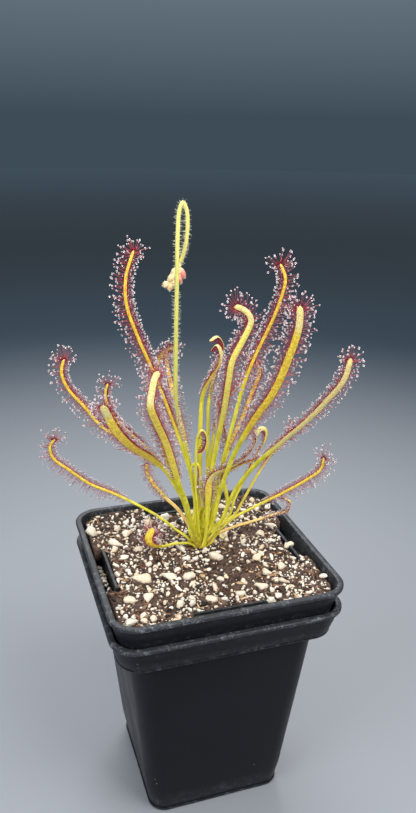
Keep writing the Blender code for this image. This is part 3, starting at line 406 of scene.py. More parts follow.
def leaf_material():
    """Lime petiole, golden back with a red zone along one side or both, a pale tip and a speckled face."""
    g = Graph("leaf")
    along = g.attribute("along")
    opened = g.attribute("opened")
    across = g.attribute("across")
    mottle = g.noise(900, 4.0, 0.6)
    grain = g.noise(2600, 2.0)
    streak = g.noise(420, 3.0, 0.6, g.place((1.0, 1.0, 0.22)))
    petiole = g.layer((0.52, 0.49, 0.015), streak, 0.3, 0.7, (0.80, 0.74, 0.080))
    blush = g.attribute("blush")
    petiole = g.layer(petiole, blush, 0.0, 1.0, (0.80, 0.47, 0.20))
    petiole = g.layer(petiole, along, 0.0, 0.09, (0.40, 0.16, 0.02), 0.9, 0.0)
    gold = g.layer((0.60, 0.38, 0.012), mottle, 0.35, 0.65, (0.86, 0.66, 0.050))
    gold = g.layer(gold, grain, 0.50, 0.66, (0.92, 0.82, 0.25), 0.0, 0.45)
    pale = g.between(g.plus(along, g.attribute("pale")), 0.98, 1.02)
    straw = g.layer((0.75, 0.66, 0.12), mottle, 0.3, 0.7, (0.89, 0.82, 0.26))
    gold = g.layer(gold, blush, -1.0, 0.0, straw, 1.0, 0.0)
    gold = g.mix(pale, gold, g.layer((0.60, 0.51, 0.17), grain, 0.4, 0.6, (0.74, 0.67, 0.33)))
    blade = g.mix(opened, petiole, gold)
    specks = g.between(g.cells(1500), 0.12, 0.30, 0.8, 0.0)
    blade = g.mix(g.times(specks, opened), blade, (0.40, 0.17, 0.015))
    front = g.times(g.between(g.attribute("facing"), 0.0, 0.45), opened)
    spots = g.layer((0.86, 0.62, 0.14), mottle, 0.46, 0.62, (0.56, 0.17, 0.05))
    blade = g.mix(g.times(front, 0.8), blade, spots)
    ruddy = g.attribute("ruddy")
    broad = g.times(across, g.math("SIGN", ruddy))
    broad = g.plus(broad, g.times(g.math("ABSOLUTE", ruddy), 1.6))
    zone = g.math("MAXIMUM", g.plus(g.math("ABSOLUTE", across), 0.04), broad)
    zone = g.plus(zone, g.times(mottle, 0.24))
    rim = g.times(g.between(zone, 1.00, 1.16), opened)
    beads = g.layer((0.60, 0.30, 0.33), g.cells(1250), 0.22, 0.42, (0.25, 0.010, 0.024))
    curled = g.attribute("curl")
    rim = g.times(rim, g.math("SUBTRACT", 1.0, curled))
    color = g.mix(rim, blade, beads)
    curl = g.times(curled, g.between(g.attribute("facing"), -0.1, 0.35))
    color = g.mix(curl, color, (0.25, 0.005, 0.010))
    g.bump(g.plus(streak, g.plus(mottle, grain)), 0.5, 0.0004)
    return g.set(color=color, rough=g.between(mottle, 0.2, 0.8, 0.34, 0.55), specular=0.45, inside=0.4,
                 inside_scale=0.002, inside_radius=(1.0, 0.8, 0.2))


def tentacle_material():
    """Crimson stalks, darkest by the blade, with dark glands."""
    g = Graph("tentacle")
    tone = g.attribute("tone")
    color = g.layer((0.36, 0.008, 0.022), tone, 0.0, 0.45, (0.28, 0.050, 0.075))
    color = g.layer(color, g.noise(260), 0.45, 0.7, (0.62, 0.10, 0.13), 0.0, 0.4)
    color = g.layer(color, tone, 0.8, 1.0, (0.28, 0.008, 0.035))
    return g.set(color=color, rough=0.4, inside=0.1, inside_scale=0.0005)


def dew_material():
    """Mostly clear sticky drops with a faint pink of the gland in them, and a whitish share in their colour
    that is a painted glint.
    """
    g = Graph("dew")
    # painted glint: the whitish colour, with the drops only partly clear, shows them as bright beads
    color = g.layer((1.0, 0.90, 0.92), g.noise(300), 0.4, 0.65, (1.0, 1.0, 1.0))
    return g.set(color=color, rough=0.05, ior=1.36, clear=0.7, specular=0.8)


def stalk_material():
    g = Graph("stalk")
    streak = g.noise(500, 3.0, 0.6, g.place((1.0, 1.0, 0.12)))
    color = g.mix(streak, (0.52, 0.53, 0.075), (0.72, 0.70, 0.18))
    color = g.layer(color, g.attribute("along"), 0.55, 0.9, (0.86, 0.80, 0.25))
    g.bump(streak, 0.3, 0.0002)
    return g.set(color=color, rough=0.5, inside=0.1, inside_scale=0.001)


def hair_material():
    g = Graph("stalk_hair")
    color = g.mix(g.noise(400), (0.90, 0.92, 0.62), (1.0, 0.98, 0.86))
    return g.set(color=color, rough=0.45)


def bud_material():
    """Cream sepals that turn peach towards their tips, pink on the buds at the other side."""
    g = Graph("bud")
    tone = g.attribute("tone")
    color = g.layer((0.92, 0.78, 0.36), tone, 0.2, 0.8, (0.90, 0.56, 0.34))
    color = g.layer(color, g.noise(700), 0.4, 0.7, (0.95, 0.80, 0.50), 0.0, 0.7)
    color = g.layer(color, tone, 1.1, 1.6, (0.80, 0.24, 0.19))
    g.bump(g.noise(1400), 0.4, 0.0002)
    return g.set(color=color, rough=0.55, inside=0.15, inside_scale=0.001)


def plastic_material():
    """Black moulded plastic: faint mottling, fine scratches, edges lightened by painted sheen with scuffs on
    them, and a few dust specks.
    """
    g = Graph("black_plastic")
    cloud = g.noise(38, 5.0, 0.6)
    fine = g.noise(1400, 3.0, 0.6)
    scratch = g.noise(260, 4.0, 0.7, g.place((1.0, 1.0, 0.06)))
    wear = g.attribute("wear")
    color = g.mix(cloud, (0.0035, 0.0042, 0.0062), (0.0085, 0.0098, 0.0135))
    # painted sheen: the lips and edges are lighter in their base colour, as where light catches them; the
    # speckles below are scuffs
    color = g.mix(g.times(wear, 0.7), color, (0.034, 0.038, 0.045))
    worn = g.between(g.plus(g.noise(330, 5.0, 0.75), g.times(fine, 0.6)), 0.80, 1.02)
    scuff = g.times(wear, worn)
    color = g.mix(scuff, color, (0.13, 0.14, 0.155))
    lines = g.between(scratch, 0.66, 0.74, 0.0, 0.25)
    color = g.mix(lines, color, (0.022, 0.025, 0.030))
    dust = g.between(g.cells(210), 0.045, 0.075, 0.75, 0.0)
    dust = g.times(dust, g.between(g.noise(45), 0.55, 0.62))
    color = g.mix(dust, color, (0.30, 0.27, 0.24))
    rough = g.plus(g.between(cloud, 0.3, 0.7, 0.34, 0.46), g.times(scuff, 0.2))
    g.bump(g.plus(fine, g.times(cloud, 2.0)), 0.12, 0.0002)
    return g.set(color=color, rough=rough, specular=0.15)


def peat_material():
    """Damp dark peat, lighter and browner on its crumbs, with painted shade that makes it nearly black down
    in the label slots.
    """
    g = Graph("peat")
    lump = g.noise(230, 5.0, 0.65)
    crumb = g.noise(1300, 4.0, 0.7)
    color = g.layer((0.008, 0.006, 0.005), lump, 0.32, 0.68, (0.095, 0.056, 0.042))
    color = g.layer(color, crumb, 0.48, 0.70, (0.19, 0.115, 0.082), 0.0, 0.85)
    color = g.layer(color, g.cells(900), 0.1, 0.2, (0.36, 0.26, 0.17), 0.5, 0.0)
    # painted shade: the peat darkens down into the label slots, where the pot's band shades it
    color = g.layer(color, g.height(), SLOT_SHADE_FULL_Z * MM, SLOT_SHADE_END_Z * MM, (0.006, 0.005, 0.004), 0.9, 0.0)
    g.bump(g.plus(lump, crumb), 0.9, 0.0006)
    return g.set(color=color, rough=0.85, specular=0.3)


def clod_material():
    g = Graph("clod")
    tone = g.attribute("tone")
    color = g.layer((0.010, 0.007, 0.006), tone, 0.0, 0.55, (0.100, 0.060, 0.044))
    color = g.layer(color, tone, 0.6, 1.0, (0.26, 0.165, 0.115))
    color = g.layer(color, g.noise(1500), 0.5, 0.75, (0.20, 0.13, 0.09), 0.0, 0.5)
    g.bump(g.noise(1800, 4.0, 0.7), 0.8, 0.0003)
    return g.set(color=color, rough=0.8, specular=0.3)


def chip_material():
    """Bark and husk: from dark brown to straw."""
    g = Graph("chip")
    tone = g.attribute("tone")
    color = g.layer((0.035, 0.017, 0.012), tone, 0.0, 0.6, (0.20, 0.095, 0.05))
    color = g.layer(color, tone, 0.75, 1.0, (0.62, 0.42, 0.24))
    g.bump(g.noise(1200, 4.0, 0.7, g.place((0.3, 1.0, 1.0))), 0.7, 0.0003)
    return g.set(color=color, rough=0.75, specular=0.3)


def perlite_material():
    """White porous grains with small dark pores, some stained cream or brown."""
    g = Graph("perlite")
    tone = g.attribute("tone")
    color = g.mix(tone, (0.78, 0.74, 0.65), (0.70, 0.56, 0.39))
    stain = g.between(g.noise(420, 4.0, 0.65), 0.55, 0.75, 0.0, 0.7)
    color = g.mix(stain, color, (0.58, 0.42, 0.27))
    pores = g.between(g.cells(1100), 0.10, 0.22, 0.5, 0.0)
    color = g.mix(pores, color, (0.42, 0.32, 0.24))
    g.bump(g.plus(g.noise(1500, 4.0, 0.7), g.cells(900)), 0.7, 0.0005)
    return g.set(color=color, rough=0.8, specular=0.3)


def dry_material():
    g = Graph("dry_leaf")
    color = g.mix(g.noise(500, 4.0, 0.65), (0.30, 0.22, 0.07), (0.72, 0.66, 0.32))
    g.bump(g.noise(1200), 0.7, 0.0003)
    return g.set(color=color, rough=0.7)


def floor_material():
    """A pale floor with a painted pool of light: its colour darkens into a plain grey far from the pot."""
    g = Graph("floor")
    away = g.node("VectorMath", "Value", {0: g.node("TexCoord", "Object", {})}, operation="LENGTH")
    near = g.mix(g.noise(3.0), (0.210, 0.225, 0.250), (0.228, 0.243, 0.268))
    # painted pool of light: the colour darkens with distance from the pot, then turns blue-grey far off
    color = g.layer(near, away, 0.10, 0.75, (0.015, 0.030, 0.046))
    color = g.layer(color, away, 1.3, 4.0, (0.040, 0.085, 0.130))
    return g.set(color=color, rough=0.6, specular=0.2)


# Meshes


def add_object(name, data):
    """A new object in the scene."""
    made = bpy.data.objects.new(name, data)
    bpy.context.scene.collection.objects.link(made)
    return made


def mesh_from(bm, name):
    """A new mesh from a bmesh, which is freed."""
    mesh = bpy.data.meshes.new(name)
    bm.to_mesh(mesh)
    bm.free()
    return mesh


def add_piece(name, mesh, finish, replaced=()):
    """A smooth object from a mesh, riding on the plant's one body."""
    mesh.materials.append(finish)
    mesh.shade_smooth()
    made = add_object(name, mesh)
    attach(made, ROOT_BODY)
    if replaced:
        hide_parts(*replaced)
    return made


def make_piece(name, verts, faces, finish, slot, replaced=(), **attributes):
    """A piece from points in mm, with values on them that its material reads."""
    mesh = bpy.data.meshes.new(name)
    mesh.from_pydata((np.asarray(verts) * MM).tolist(), [], faces)
    for label, values in attributes.items():
        layer = mesh.attributes.new(label, "FLOAT", "POINT")
        layer.data.foreach_set("value", np.asarray(values, np.float32).ravel())
    mesh.validate()
    mesh.update()
    return add_piece(name, mesh, finish, replaced)


def turn_outward(piece):
    """Make a closed mesh's faces point outward."""
    bm = bmesh.new()
    bm.from_mesh(piece.data)
    bmesh.ops.recalc_face_normals(bm, faces=bm.faces)
    bm.to_mesh(piece.data)
    bm.free()
    return piece


def skin_faces(rings, count):
    """Faces of a closed tube of rings, each of count points, with both ends capped."""
    faces = []
    last = (rings - 1) * count
    for low in range(0, last, count):
        for i in range(count):
            j = (i + 1) % count
            faces.append((low + i, low + j, low + count + j, low + count + i))
    faces.append(tuple(reversed(range(count))))
    faces.append(tuple(range(last, last + count)))
    return faces


def repeat_faces(faces, size, copies, start=0):
    """The same faces for each of many copies of a shape of size points, the first at point start."""
    return [tuple(start + i + size * copy for i in face) for copy in range(copies) for face in faces]


def all_points(rings):
    """The points of all rings in one list."""
    return [tuple(point) for ring in rings for point in ring]


def make_tube(name, rings, finish, slot, replaced=(), **attributes):
    """A closed piece through rings of points."""
    faces = skin_faces(len(rings), len(rings[0]))
    return turn_outward(make_piece(name, all_points(rings), faces, finish, slot, replaced, **attributes))


def turns_of(count):
    """Angles spread evenly over one turn."""
    return [2 * math.pi * step / count for step in range(count)]


def round_ring(middle, side, face, radius, count):
    """Points round a circle in the plane of side and face."""
    return [middle + (side * math.cos(angle) + face * math.sin(angle)) * radius for angle in turns_of(count)]


def unit(rows):
    return rows / np.maximum(np.linalg.norm(rows, axis=-1, keepdims=True), 1e-9)


def across_axes(directions):
    """Two directions square to each of many."""
    helper = np.where(np.abs(directions[:, 2:3]) > 0.8, (1.0, 0.0, 0.0), (0.0, 0.0, 1.0))
    first = unit(np.cross(directions, helper))
    return first, np.cross(directions, first)


def many_tubes(rows, taper):
    """Points, tips and end directions of many thin tubes, whose rings have the radii in taper.

    A row starts with a tube's root, direction, bend and length.
    """
    roots, directions, bends = (np.array([tuple(row[i]) for row in rows]) for i in range(3))
    share = np.linspace(0, 1, len(taper))
    run = np.array([row[3] for row in rows])[:, None] * share
    centres = roots[:, None] + directions[:, None] * run[..., None]
    centres = centres + bends[:, None] * (run * share)[..., None]
    first, second = across_axes(directions)
    angles = np.array(turns_of(TUBE_SIDES))[:, None]
    ring = first[:, None] * np.cos(angles) + second[:, None] * np.sin(angles)
    points = centres[:, :, None] + ring[:, None] * np.array(taper)[:, None, None]
    return points.reshape(-1, 3), centres[:, -1], unit(directions + 2 * bends)


def tube_faces(taper, copies):
    """Faces of the tubes that many_tubes makes."""
    return repeat_faces(skin_faces(len(taper), TUBE_SIDES), len(taper) * TUBE_SIDES, copies)


def unit_ball(segments, rings):
    """Points and faces of a closed ball of radius 1 with its poles on the third axis."""
    points = [(0, 0, -1)]
    for ring in range(1, rings):
        polar = math.pi * ring / rings
        for angle in turns_of(segments):
            points.append((math.sin(polar) * math.cos(angle), math.sin(polar) * math.sin(angle),
                           -math.cos(polar)))
    last = len(points)
    points.append((0, 0, 1))
    faces = []
    top = last - segments
    for step in range(segments):
        other = (step + 1) % segments
        faces.append((0, 1 + other, 1 + step))
        for low in range(1, top, segments):
            faces.append((low + step, low + other, low + segments + other, low + segments + step))
        faces.append((top + step, top + other, last))
    return np.array(points), faces


def many_balls(centres, directions, long_radius, wide_radius, ball):
    """Points of many balls, each stretched along its own direction."""
    first, second = across_axes(directions)
    flat = first[:, None] * ball[None, :, 0:1] + second[:, None] * ball[None, :, 1:2]
    tall = directions[:, None] * ball[None, :, 2:3]
    points = centres[:, None] + flat * wide_radius[:, None, None] + tall * long_radius[:, None, None]
    return points.reshape(-1, 3)


# Pots


def square_ring(half, radius, z):
    """Points round a square with rounded corners."""
    straight = half - radius
    quarter = []
    for step in range(CORNER_STEPS + 1):
        angle = math.radians(90 * step / CORNER_STEPS)
        quarter.append((straight + radius * math.cos(angle), straight + radius * math.sin(angle)))
    for step in range(1, SIDE_STEPS):
        quarter.append((straight * (1 - 2 * step / SIDE_STEPS), half))
    ring = []
    for turn in turns_of(4):
        for x, y in quarter:
            ring.append((x * math.cos(turn) - y * math.sin(turn), x * math.sin(turn) + y * math.cos(turn),
                         z))
    return ring


def body_half(z):
    return BODY_FOOT_HALF + (BODY_TOP_HALF - BODY_FOOT_HALF) * z / SHOULDER_Z


def rounded(half, corner, z, out, up, radius, wear, steps=3):
    """A quarter turn of the pot's profile at an edge. out and up say where the arc's middle lies from it."""
    made = []
    for step in range(steps + 1):
        angle = math.radians(90 * step / steps)
        along, rise = 1 - math.cos(angle), 1 - math.sin(angle)
        if out * up > 0:
            along, rise = rise, along
        shift = out * radius * along
        made.append((half + shift, corner + shift, z + up * radius * rise, wear))
    return made


def pot_profile():
    """(half width, corner radius, height, share of painted sheen and scuffs) from the foot up the outside
    and down the inside.
    """
    lip_under = POT_HEIGHT - LIP_THICK
    shoulder_top = SHOULDER_Z + SHOULDER_THICK
    inner_corner = BAND_FOOT_CORNER - (BAND_FOOT_HALF - BAND_FOOT_INNER)
    opening_corner = LIP_CORNER - (LIP_HALF - LIP_OPENING)
    profile = rounded(BODY_FOOT_HALF, BODY_FOOT_CORNER, 0, -1, 1, FOOT_ROUND, 0.5)
    for step in range(1, WALL_STEPS):
        z = SHOULDER_Z * step / WALL_STEPS
        corner = BODY_FOOT_CORNER + (BODY_TOP_CORNER - BODY_FOOT_CORNER) * step / WALL_STEPS
        profile.append((body_half(z), corner, z, 0.0))
    profile.append((BODY_TOP_HALF, BODY_TOP_CORNER, SHOULDER_Z - SHOULDER_FILLET, 0.0))
    profile.append((BODY_TOP_HALF + SHOULDER_FILLET, BODY_TOP_CORNER + FILLET_CORNER, SHOULDER_Z, 0.0))
    profile += rounded(BAND_FOOT_HALF, BAND_FOOT_CORNER, SHOULDER_Z, -1, 1, BAND_ROUND, 0.45)
    profile += [
        ((BAND_FOOT_HALF + BAND_TOP_HALF) / 2, BAND_FOOT_CORNER, (SHOULDER_Z + lip_under) / 2, 0.0),
        (BAND_TOP_HALF, LIP_CORNER - (LIP_HALF - BAND_TOP_HALF), lip_under, 0.2),
        (LIP_HALF - LIP_EDGE, LIP_CORNER - LIP_EDGE, lip_under, 0.6),
        (LIP_HALF, LIP_CORNER, lip_under + LIP_EDGE, 0.9),
    ]
    profile += rounded(LIP_HALF, LIP_CORNER, POT_HEIGHT, -1, -1, LIP_ROUND, 1.0, 4)[::-1]
    profile += rounded(LIP_OPENING, opening_corner, POT_HEIGHT, 1, -1, LIP_ROUND, 0.8, 4)[::-1]
    profile += [
        (BAND_FOOT_INNER, inner_corner, shoulder_top, 0.0),
        (BODY_TOP_HALF - BODY_WALL, BODY_TOP_CORNER - BODY_WALL, shoulder_top, 0.0),
        (body_half(FLOOR_THICK) - BODY_WALL, BODY_FOOT_CORNER - BODY_WALL, FLOOR_THICK, 0.0),
    ]
    return profile


def boolean(piece, bm, operation):
    """Apply a Boolean with the shape in a bmesh, then drop that shape."""
    tool = add_object("tool", mesh_from(bm, "tool"))
    change = piece.modifiers.new("change", "BOOLEAN")
    change.operation = operation
    change.object = tool
    change.solver = "EXACT"
    graph = bpy.context.evaluated_depsgraph_get()
    made = bpy.data.meshes.new_from_object(piece.evaluated_get(graph))
    piece.modifiers.remove(change)
    piece.data = made
    bpy.data.objects.remove(tool, do_unlink=True)


def make_pot(name, lift, finish):
    """A nursery pot with rounded lips, label ribs inside its band and four drain holes."""
    profile = pot_profile()
    rings = [square_ring(half, corner, z + lift) for half, corner, z, wear in profile]
    wear = [item[-1] for item in profile for point in rings[0]]
    pot = make_tube(name + "_shell", rings, finish, "black_plastic", (name,), wear=wear)
    rib_size = Vector((SLOT_RIB, SLOT_LENGTH, SLOT_HEIGHT - 2 * RIB_TRIM))
    rib_centre = Vector((BODY_TOP_HALF - BODY_WALL + RIB_INSET + SLOT_RIB / 2, 0,
                         lift + SHOULDER_Z + RIB_TRIM + SLOT_HEIGHT / 2))
    for side in range(4):
        turn = Matrix.Rotation(math.radians(90 * side), 3, "Z")
        rib = bmesh.new()
        bmesh.ops.create_cube(rib, size=1.0)
        bmesh.ops.scale(rib, vec=rib_size * MM, verts=rib.verts)
        bmesh.ops.translate(rib, vec=rib_centre * MM, verts=rib.verts)
        bmesh.ops.rotate(rib, matrix=turn, verts=rib.verts)
        boolean(pot, rib, "UNION")
        drain = bmesh.new()
        bmesh.ops.create_cone(drain, cap_ends=True, segments=32, radius1=DRAIN_RADIUS * MM,
                              radius2=DRAIN_RADIUS * MM, depth=FLOOR_THICK * 3 * MM)
        where = turn @ Vector((DRAIN_OFFSET, DRAIN_OFFSET, lift + FLOOR_THICK / 2))
        bmesh.ops.translate(drain, vec=where * MM, verts=drain.verts)
        boolean(pot, drain, "DIFFERENCE")
    pot.data.shade_smooth()
    pot.data.set_sharp_from_angle(angle=math.radians(38))


# Soil


def clamp(value):
    return max(0.0, min(1.0, value))


def wave(x, y, pitch, layer):
    """Smooth noise over the soil, from a layer of its own for each use."""
    return noise.noise(Vector((x * pitch, y * pitch, layer)))


def soil_height(x, y):
    """Height of the soil's surface without its crumbs."""
    away = math.hypot(x - CROWN_X, y - CROWN_Y)
    mound = SOIL_MOUND * (math.exp(-(away / MOUND_REACH) ** 2) - 0.4)
    waves = wave(x, y, WAVE_PITCH[0], 3.0) + 0.6 * wave(x, y, WAVE_PITCH[1], 8.0)
    calm = min(1.0, away / CALM_RADIUS)
    rise = (SOIL_RISE + SOIL_TILT * (y - CROWN_Y)) * clamp((away - CALM_RADIUS) / RISE_STRETCH)
    return SOIL_Z + mound + rise + SOIL_RELIEF * waves * calm


def crumbly_height(x, y):
    """The surface with its crumbs and small pits, banked up a little along the pot's wall."""
    bank = max(0.0, (max(abs(x), abs(y)) - BANK_START) / BANK_WIDTH)
    coarse, fine, bits = (wave(x, y, pitch, layer) * height for pitch, layer, height in CRUMB_WAVES)
    return soil_height(x, y) + coarse + fine + abs(bits) + BANK_RISE * bank * bank


def grid_lines():
    """Grid coordinates across the soil, with lines on the edges of the label slots."""
    marks = (-SOIL_HALF, -SLOT_START, -SLOT_HALF, SLOT_HALF, SLOT_START, SOIL_HALF)
    lines = [marks[0]]
    for low, high in zip(marks[:-1], marks[1:]):
        count = max(1, round((high - low) / SOIL_CELL))
        lines += [low + (high - low) * (i + 1) / count for i in range(count)]
    return lines


def to_outline(x, y):
    """A point kept inside the soil's rounded square, and whether it was moved."""
    straight = SOIL_HALF - SOIL_CORNER
    over = Vector((max(0.0, abs(x) - straight), max(0.0, abs(y) - straight)))
    if over.length <= SOIL_CORNER:
        return x, y, False
    over = over.normalized() * SOIL_CORNER
    return math.copysign(straight + over.x, x), math.copysign(straight + over.y, y), True


def in_slot(x, y):
    """Whether a point lies over a label slot at the middle of a side."""
    far, near = max(abs(x), abs(y)), min(abs(x), abs(y))
    return far > SLOT_START and near < SLOT_HALF


def make_soil_top(finish):
    """The crumbly top of the soil with the label slots left open, on walls down to the slots' floor."""
    lines = grid_lines()
    count = len(lines)
    bm = bmesh.new()
    verts = []
    moved = []
    for y in lines:
        for x in lines:
            a, b, was_moved = to_outline(x, y)
            verts.append(bm.verts.new(Vector((a, b, crumbly_height(a, b))) * MM))
            moved.append(was_moved)
    for row in range(count - 1):
        for column in range(count - 1):
            corner = row * count + column
            face = (corner, corner + 1, corner + count + 1, corner + count)
            middle = ((lines[column] + lines[column + 1]) / 2, (lines[row] + lines[row + 1]) / 2)
            if not all(moved[i] for i in face) and not in_slot(*middle):
                bm.faces.new([verts[i] for i in face])
    bmesh.ops.delete(bm, geom=[v for v in bm.verts if not v.link_faces], context="VERTS")
    rim = [edge for edge in bm.edges if edge.is_boundary]
    for item in bmesh.ops.extrude_edge_only(bm, edges=rim)["geom"]:
        if isinstance(item, bmesh.types.BMVert):
            item.co.z = (SLOT_FLOOR + SOIL_GAP) * MM
    bmesh.ops.holes_fill(bm, edges=[edge for edge in bm.edges if edge.is_boundary], sides=0)
    bmesh.ops.recalc_face_normals(bm, faces=bm.faces)
    add_piece("soil_top", mesh_from(bm, "soil_top"), finish, ("soil",))


def make_soil_body(finish):
    """The plain soil under the top, down to the inner pot's floor."""
    inset = BODY_WALL + SOIL_GAP
    floor_z = POT_NEST + FLOOR_THICK + SOIL_GAP
    top_corner = BODY_TOP_CORNER - inset
    rings = [
        square_ring(body_half(FLOOR_THICK) - inset, BODY_FOOT_CORNER - inset, floor_z),
        square_ring(BODY_TOP_HALF - inset, top_corner, SLOT_FLOOR),
        square_ring(BODY_TOP_HALF - inset - SOIL_GAP, top_corner, SLOT_FLOOR + SOIL_CHAMFER),
    ]
    make_tube("soil_body", rings, finish, "peat_and_perlite", ("soil",))


def lumpy_ball(subdivisions, rng):
    """Points and faces of an icosphere cut and pushed in and out at random, as a broken grain is."""
    bm = bmesh.new()
    bmesh.ops.create_icosphere(bm, subdivisions=subdivisions, radius=1.0)
    seed = rng.uniform(0, 100)
    cuts = [Vector([rng.gauss(0, 1) for axis in range(3)]).normalized() for i in range(LUMP_CUTS)]
    points = []
    for vert in bm.verts:
        point = vert.co.copy()
        for cut in cuts:
            beyond = point.dot(cut) - CUT_DISTANCE
            if beyond > 0:
                point -= cut * beyond * 0.9
        point *= 1.05 + 0.42 * noise.noise(vert.co * 1.6 + Vector((seed, 0, 0)))
        point *= 1.0 + 0.14 * noise.noise(vert.co * 4.5 + Vector((0, seed, 0)))
        points.append(tuple(point))
    faces = [tuple(v.index for v in face.verts) for face in bm.faces]
    bm.free()
    return np.array(points), faces


def scatter(name, shapes, spots, finish):
    """One piece from many lumps, each at a spot (place, half sizes, turn matrix, tone, shape number)."""
    verts = []
    faces = []
    tones = []
    for place, size, turn, tone, pick in spots:
        points, shape_faces = shapes[pick]
        verts.append((points * np.array(size)) @ np.array(turn).T + np.array(place))
        faces += repeat_faces(shape_faces, 0, 1, len(tones))
        tones += [tone] * len(points)
    make_piece(name, np.concatenate(verts), faces, finish, "peat_and_perlite", tone=tones)


def random_turn(rng, tilt):
    spin = Matrix.Rotation(rng.uniform(0, 2 * math.pi), 3, "Z")
    lean = Matrix.Rotation(rng.uniform(-tilt, tilt), 3, "X")
    return spin @ lean @ Matrix.Rotation(rng.uniform(-tilt, tilt), 3, "Y")


def perlite_share(x, y):
    """How thick the white grains lie: thin right of the crown and in front of it, thick elsewhere."""
    bare = math.exp(-(((x - BARE_X) / BARE_REACH) ** 2 + ((y - BARE_Y) / BARE_REACH) ** 2))
    patches = 0.5 + 1.5 * wave(x, y, 0.12, 20.0)
    return max(0.07, min(1.0, 0.30 + patches * 0.8 - 0.85 * bare))


def free_spot(rng):
    """A random spot on the soil, off the crown, in the pot and out of the label slots."""
    while True:
        x, y = rng.uniform(-SPOT_HALF, SPOT_HALF), rng.uniform(-SPOT_HALF, SPOT_HALF)
        outside = to_outline(x * SPOT_MARGIN, y * SPOT_MARGIN)[2]
        if not outside and not in_slot(x, y) and math.hypot(x - CROWN_X, y - CROWN_Y) >= CROWN_CLEAR:
            return x, y


def random_size(rng, least, spread, most):
    """A size at random, small ones far more often."""
    return min(most, least + rng.expovariate(1 / spread))


def large_grains(rng):
    """Spots of the larger pale grains, which lie flat."""
    spots = []
    for x, y, length, width in LARGE_GRAINS:
        turn = Matrix.Rotation(rng.uniform(0, math.pi), 3, "Z")
        place = (x, y, soil_height(x, y) + width * 0.10)
        size = (length / 2, width / 2, width * 0.40)
        spots.append((place, size, turn, rng.uniform(0.3, 0.8), len(spots) % FINE_LUMPS))
    return spots


def slot_grains(rng):
    """Spots of the small grains that have run into the label slots."""
    spots = []
    for side in range(4):
        turn = Matrix.Rotation(math.radians(90 * side), 3, "Z")
        for i in range(SLOT_GRAINS):
            size = rng.uniform(0.5, 1.2)
            along = rng.uniform(-13, 13)
            pile = rng.uniform(0.0, 3.0) if along > -5 else 0.0
            spot = turn @ Vector((rng.uniform(38.2, 39.8), along, SLOT_FLOOR + size * 0.8 + pile))
            spots.append((spot, (size, size * 0.9, size * 0.8), random_turn(rng, 0.5), rng.random() ** 2,
                          rng.randrange(FINE_LUMPS, ALL_LUMPS)))
    return spots


def make_perlite(finish, rng):
    """The large grains, the small ones strewn among them without touching, and those in the slots."""
    shapes = [lumpy_ball(2 if i < FINE_LUMPS else 1, rng) for i in range(ALL_LUMPS)]
    spots = large_grains(rng)
    taken = [(x, y, length * 0.42) for x, y, length, width in LARGE_GRAINS]
    for i in range(PERLITE_TRIES):
        if len(spots) == PERLITE:
            break
        x, y = free_spot(rng)
        if rng.random() > perlite_share(x, y):
            continue
        size = random_size(rng, *PERLITE_SIZES)
        if any((x - a) ** 2 + (y - b) ** 2 < (size * 0.8 + c) ** 2 for a, b, c in taken):
            continue
        taken.append((x, y, size * 0.8))
        sizes = (size * rng.uniform(0.85, 1.6), size * rng.uniform(0.65, 1.0), size * rng.uniform(0.55, 0.9))
        place = (x, y, crumbly_height(x, y) + sizes[2] * rng.uniform(0.1, 0.6))
        pick = rng.randrange(FINE_LUMPS) if size > 0.55 else rng.randrange(FINE_LUMPS, ALL_LUMPS)
        spots.append((place, sizes, random_turn(rng, 0.5), rng.random() ** 2.2, pick))
    scatter("perlite", shapes, spots + slot_grains(rng), finish)


def make_clods(finish, rng):
    """Crumbs of peat that stand out of the surface."""
    shapes = [lumpy_ball(1, rng) for i in range(CLOD_LUMPS)]
    spots = []
    for i in range(CLODS):
        x, y = free_spot(rng)
        size = random_size(rng, *CLOD_SIZES)
        sizes = (size * rng.uniform(0.9, 1.7), size * rng.uniform(0.7, 1.0), size * rng.uniform(0.5, 0.8))
        place = (x, y, crumbly_height(x, y) + sizes[2] * rng.uniform(0.0, 0.6))
        spots.append((place, sizes, random_turn(rng, 0.6), rng.random(), rng.randrange(CLOD_LUMPS)))
    scatter("peat_clods", shapes, spots, finish)


def make_chips(finish, rng):
    """Flat splinters of bark, and a few straw fibres."""
    shapes = [lumpy_ball(1, rng) for i in range(CHIP_LUMPS)]
    spots = []
    for i in range(CHIPS):
        x, y = free_spot(rng)
        length = rng.uniform(0.8, 2.6)
        sizes = (length, length * rng.uniform(0.18, 0.45), rng.uniform(0.14, 0.3))
        place = (x, y, crumbly_height(x, y) + 0.35)
        spots.append((place, sizes, random_turn(rng, 0.45), rng.random(), rng.randrange(CHIP_LUMPS)))
    for i in range(FIBRES):
        x, y = free_spot(rng)
        sizes = (rng.uniform(1.6, 4.2), 0.13, 0.12)
        place = (x, y, crumbly_height(x, y) + 0.55)
        tone = rng.uniform(0.4, 1.0)
        spots.append((place, sizes, random_turn(rng, 0.22), tone, rng.randrange(CHIP_LUMPS)))
    scatter("bark_chips", shapes, spots, finish)


def make_fibre(finish):
    """One long root fibre that lies in front of the crown, thinner at its two ends."""
    points = smooth_curve([Vector((x, y, soil_height(x, y) + 0.7)) for x, y in FIBRE], 0.6)
    rings = []
    for i, point in enumerate(points):
        tangent = tangent_at(points, i)
        first = tangent.cross(Vector((0.1, 0.2, 1.0))).normalized()
        end = min(i, len(points) - 1 - i) / 3
        radius = FIBRE_RADIUS * min(1.0, 0.35 + 0.65 * end)
        rings.append(round_ring(point, first, tangent.cross(first), radius, FIBRE_POINTS))
    make_tube("fibre", rings, finish, "peat_and_perlite", tone=[0.62] * len(rings) * FIBRE_POINTS)


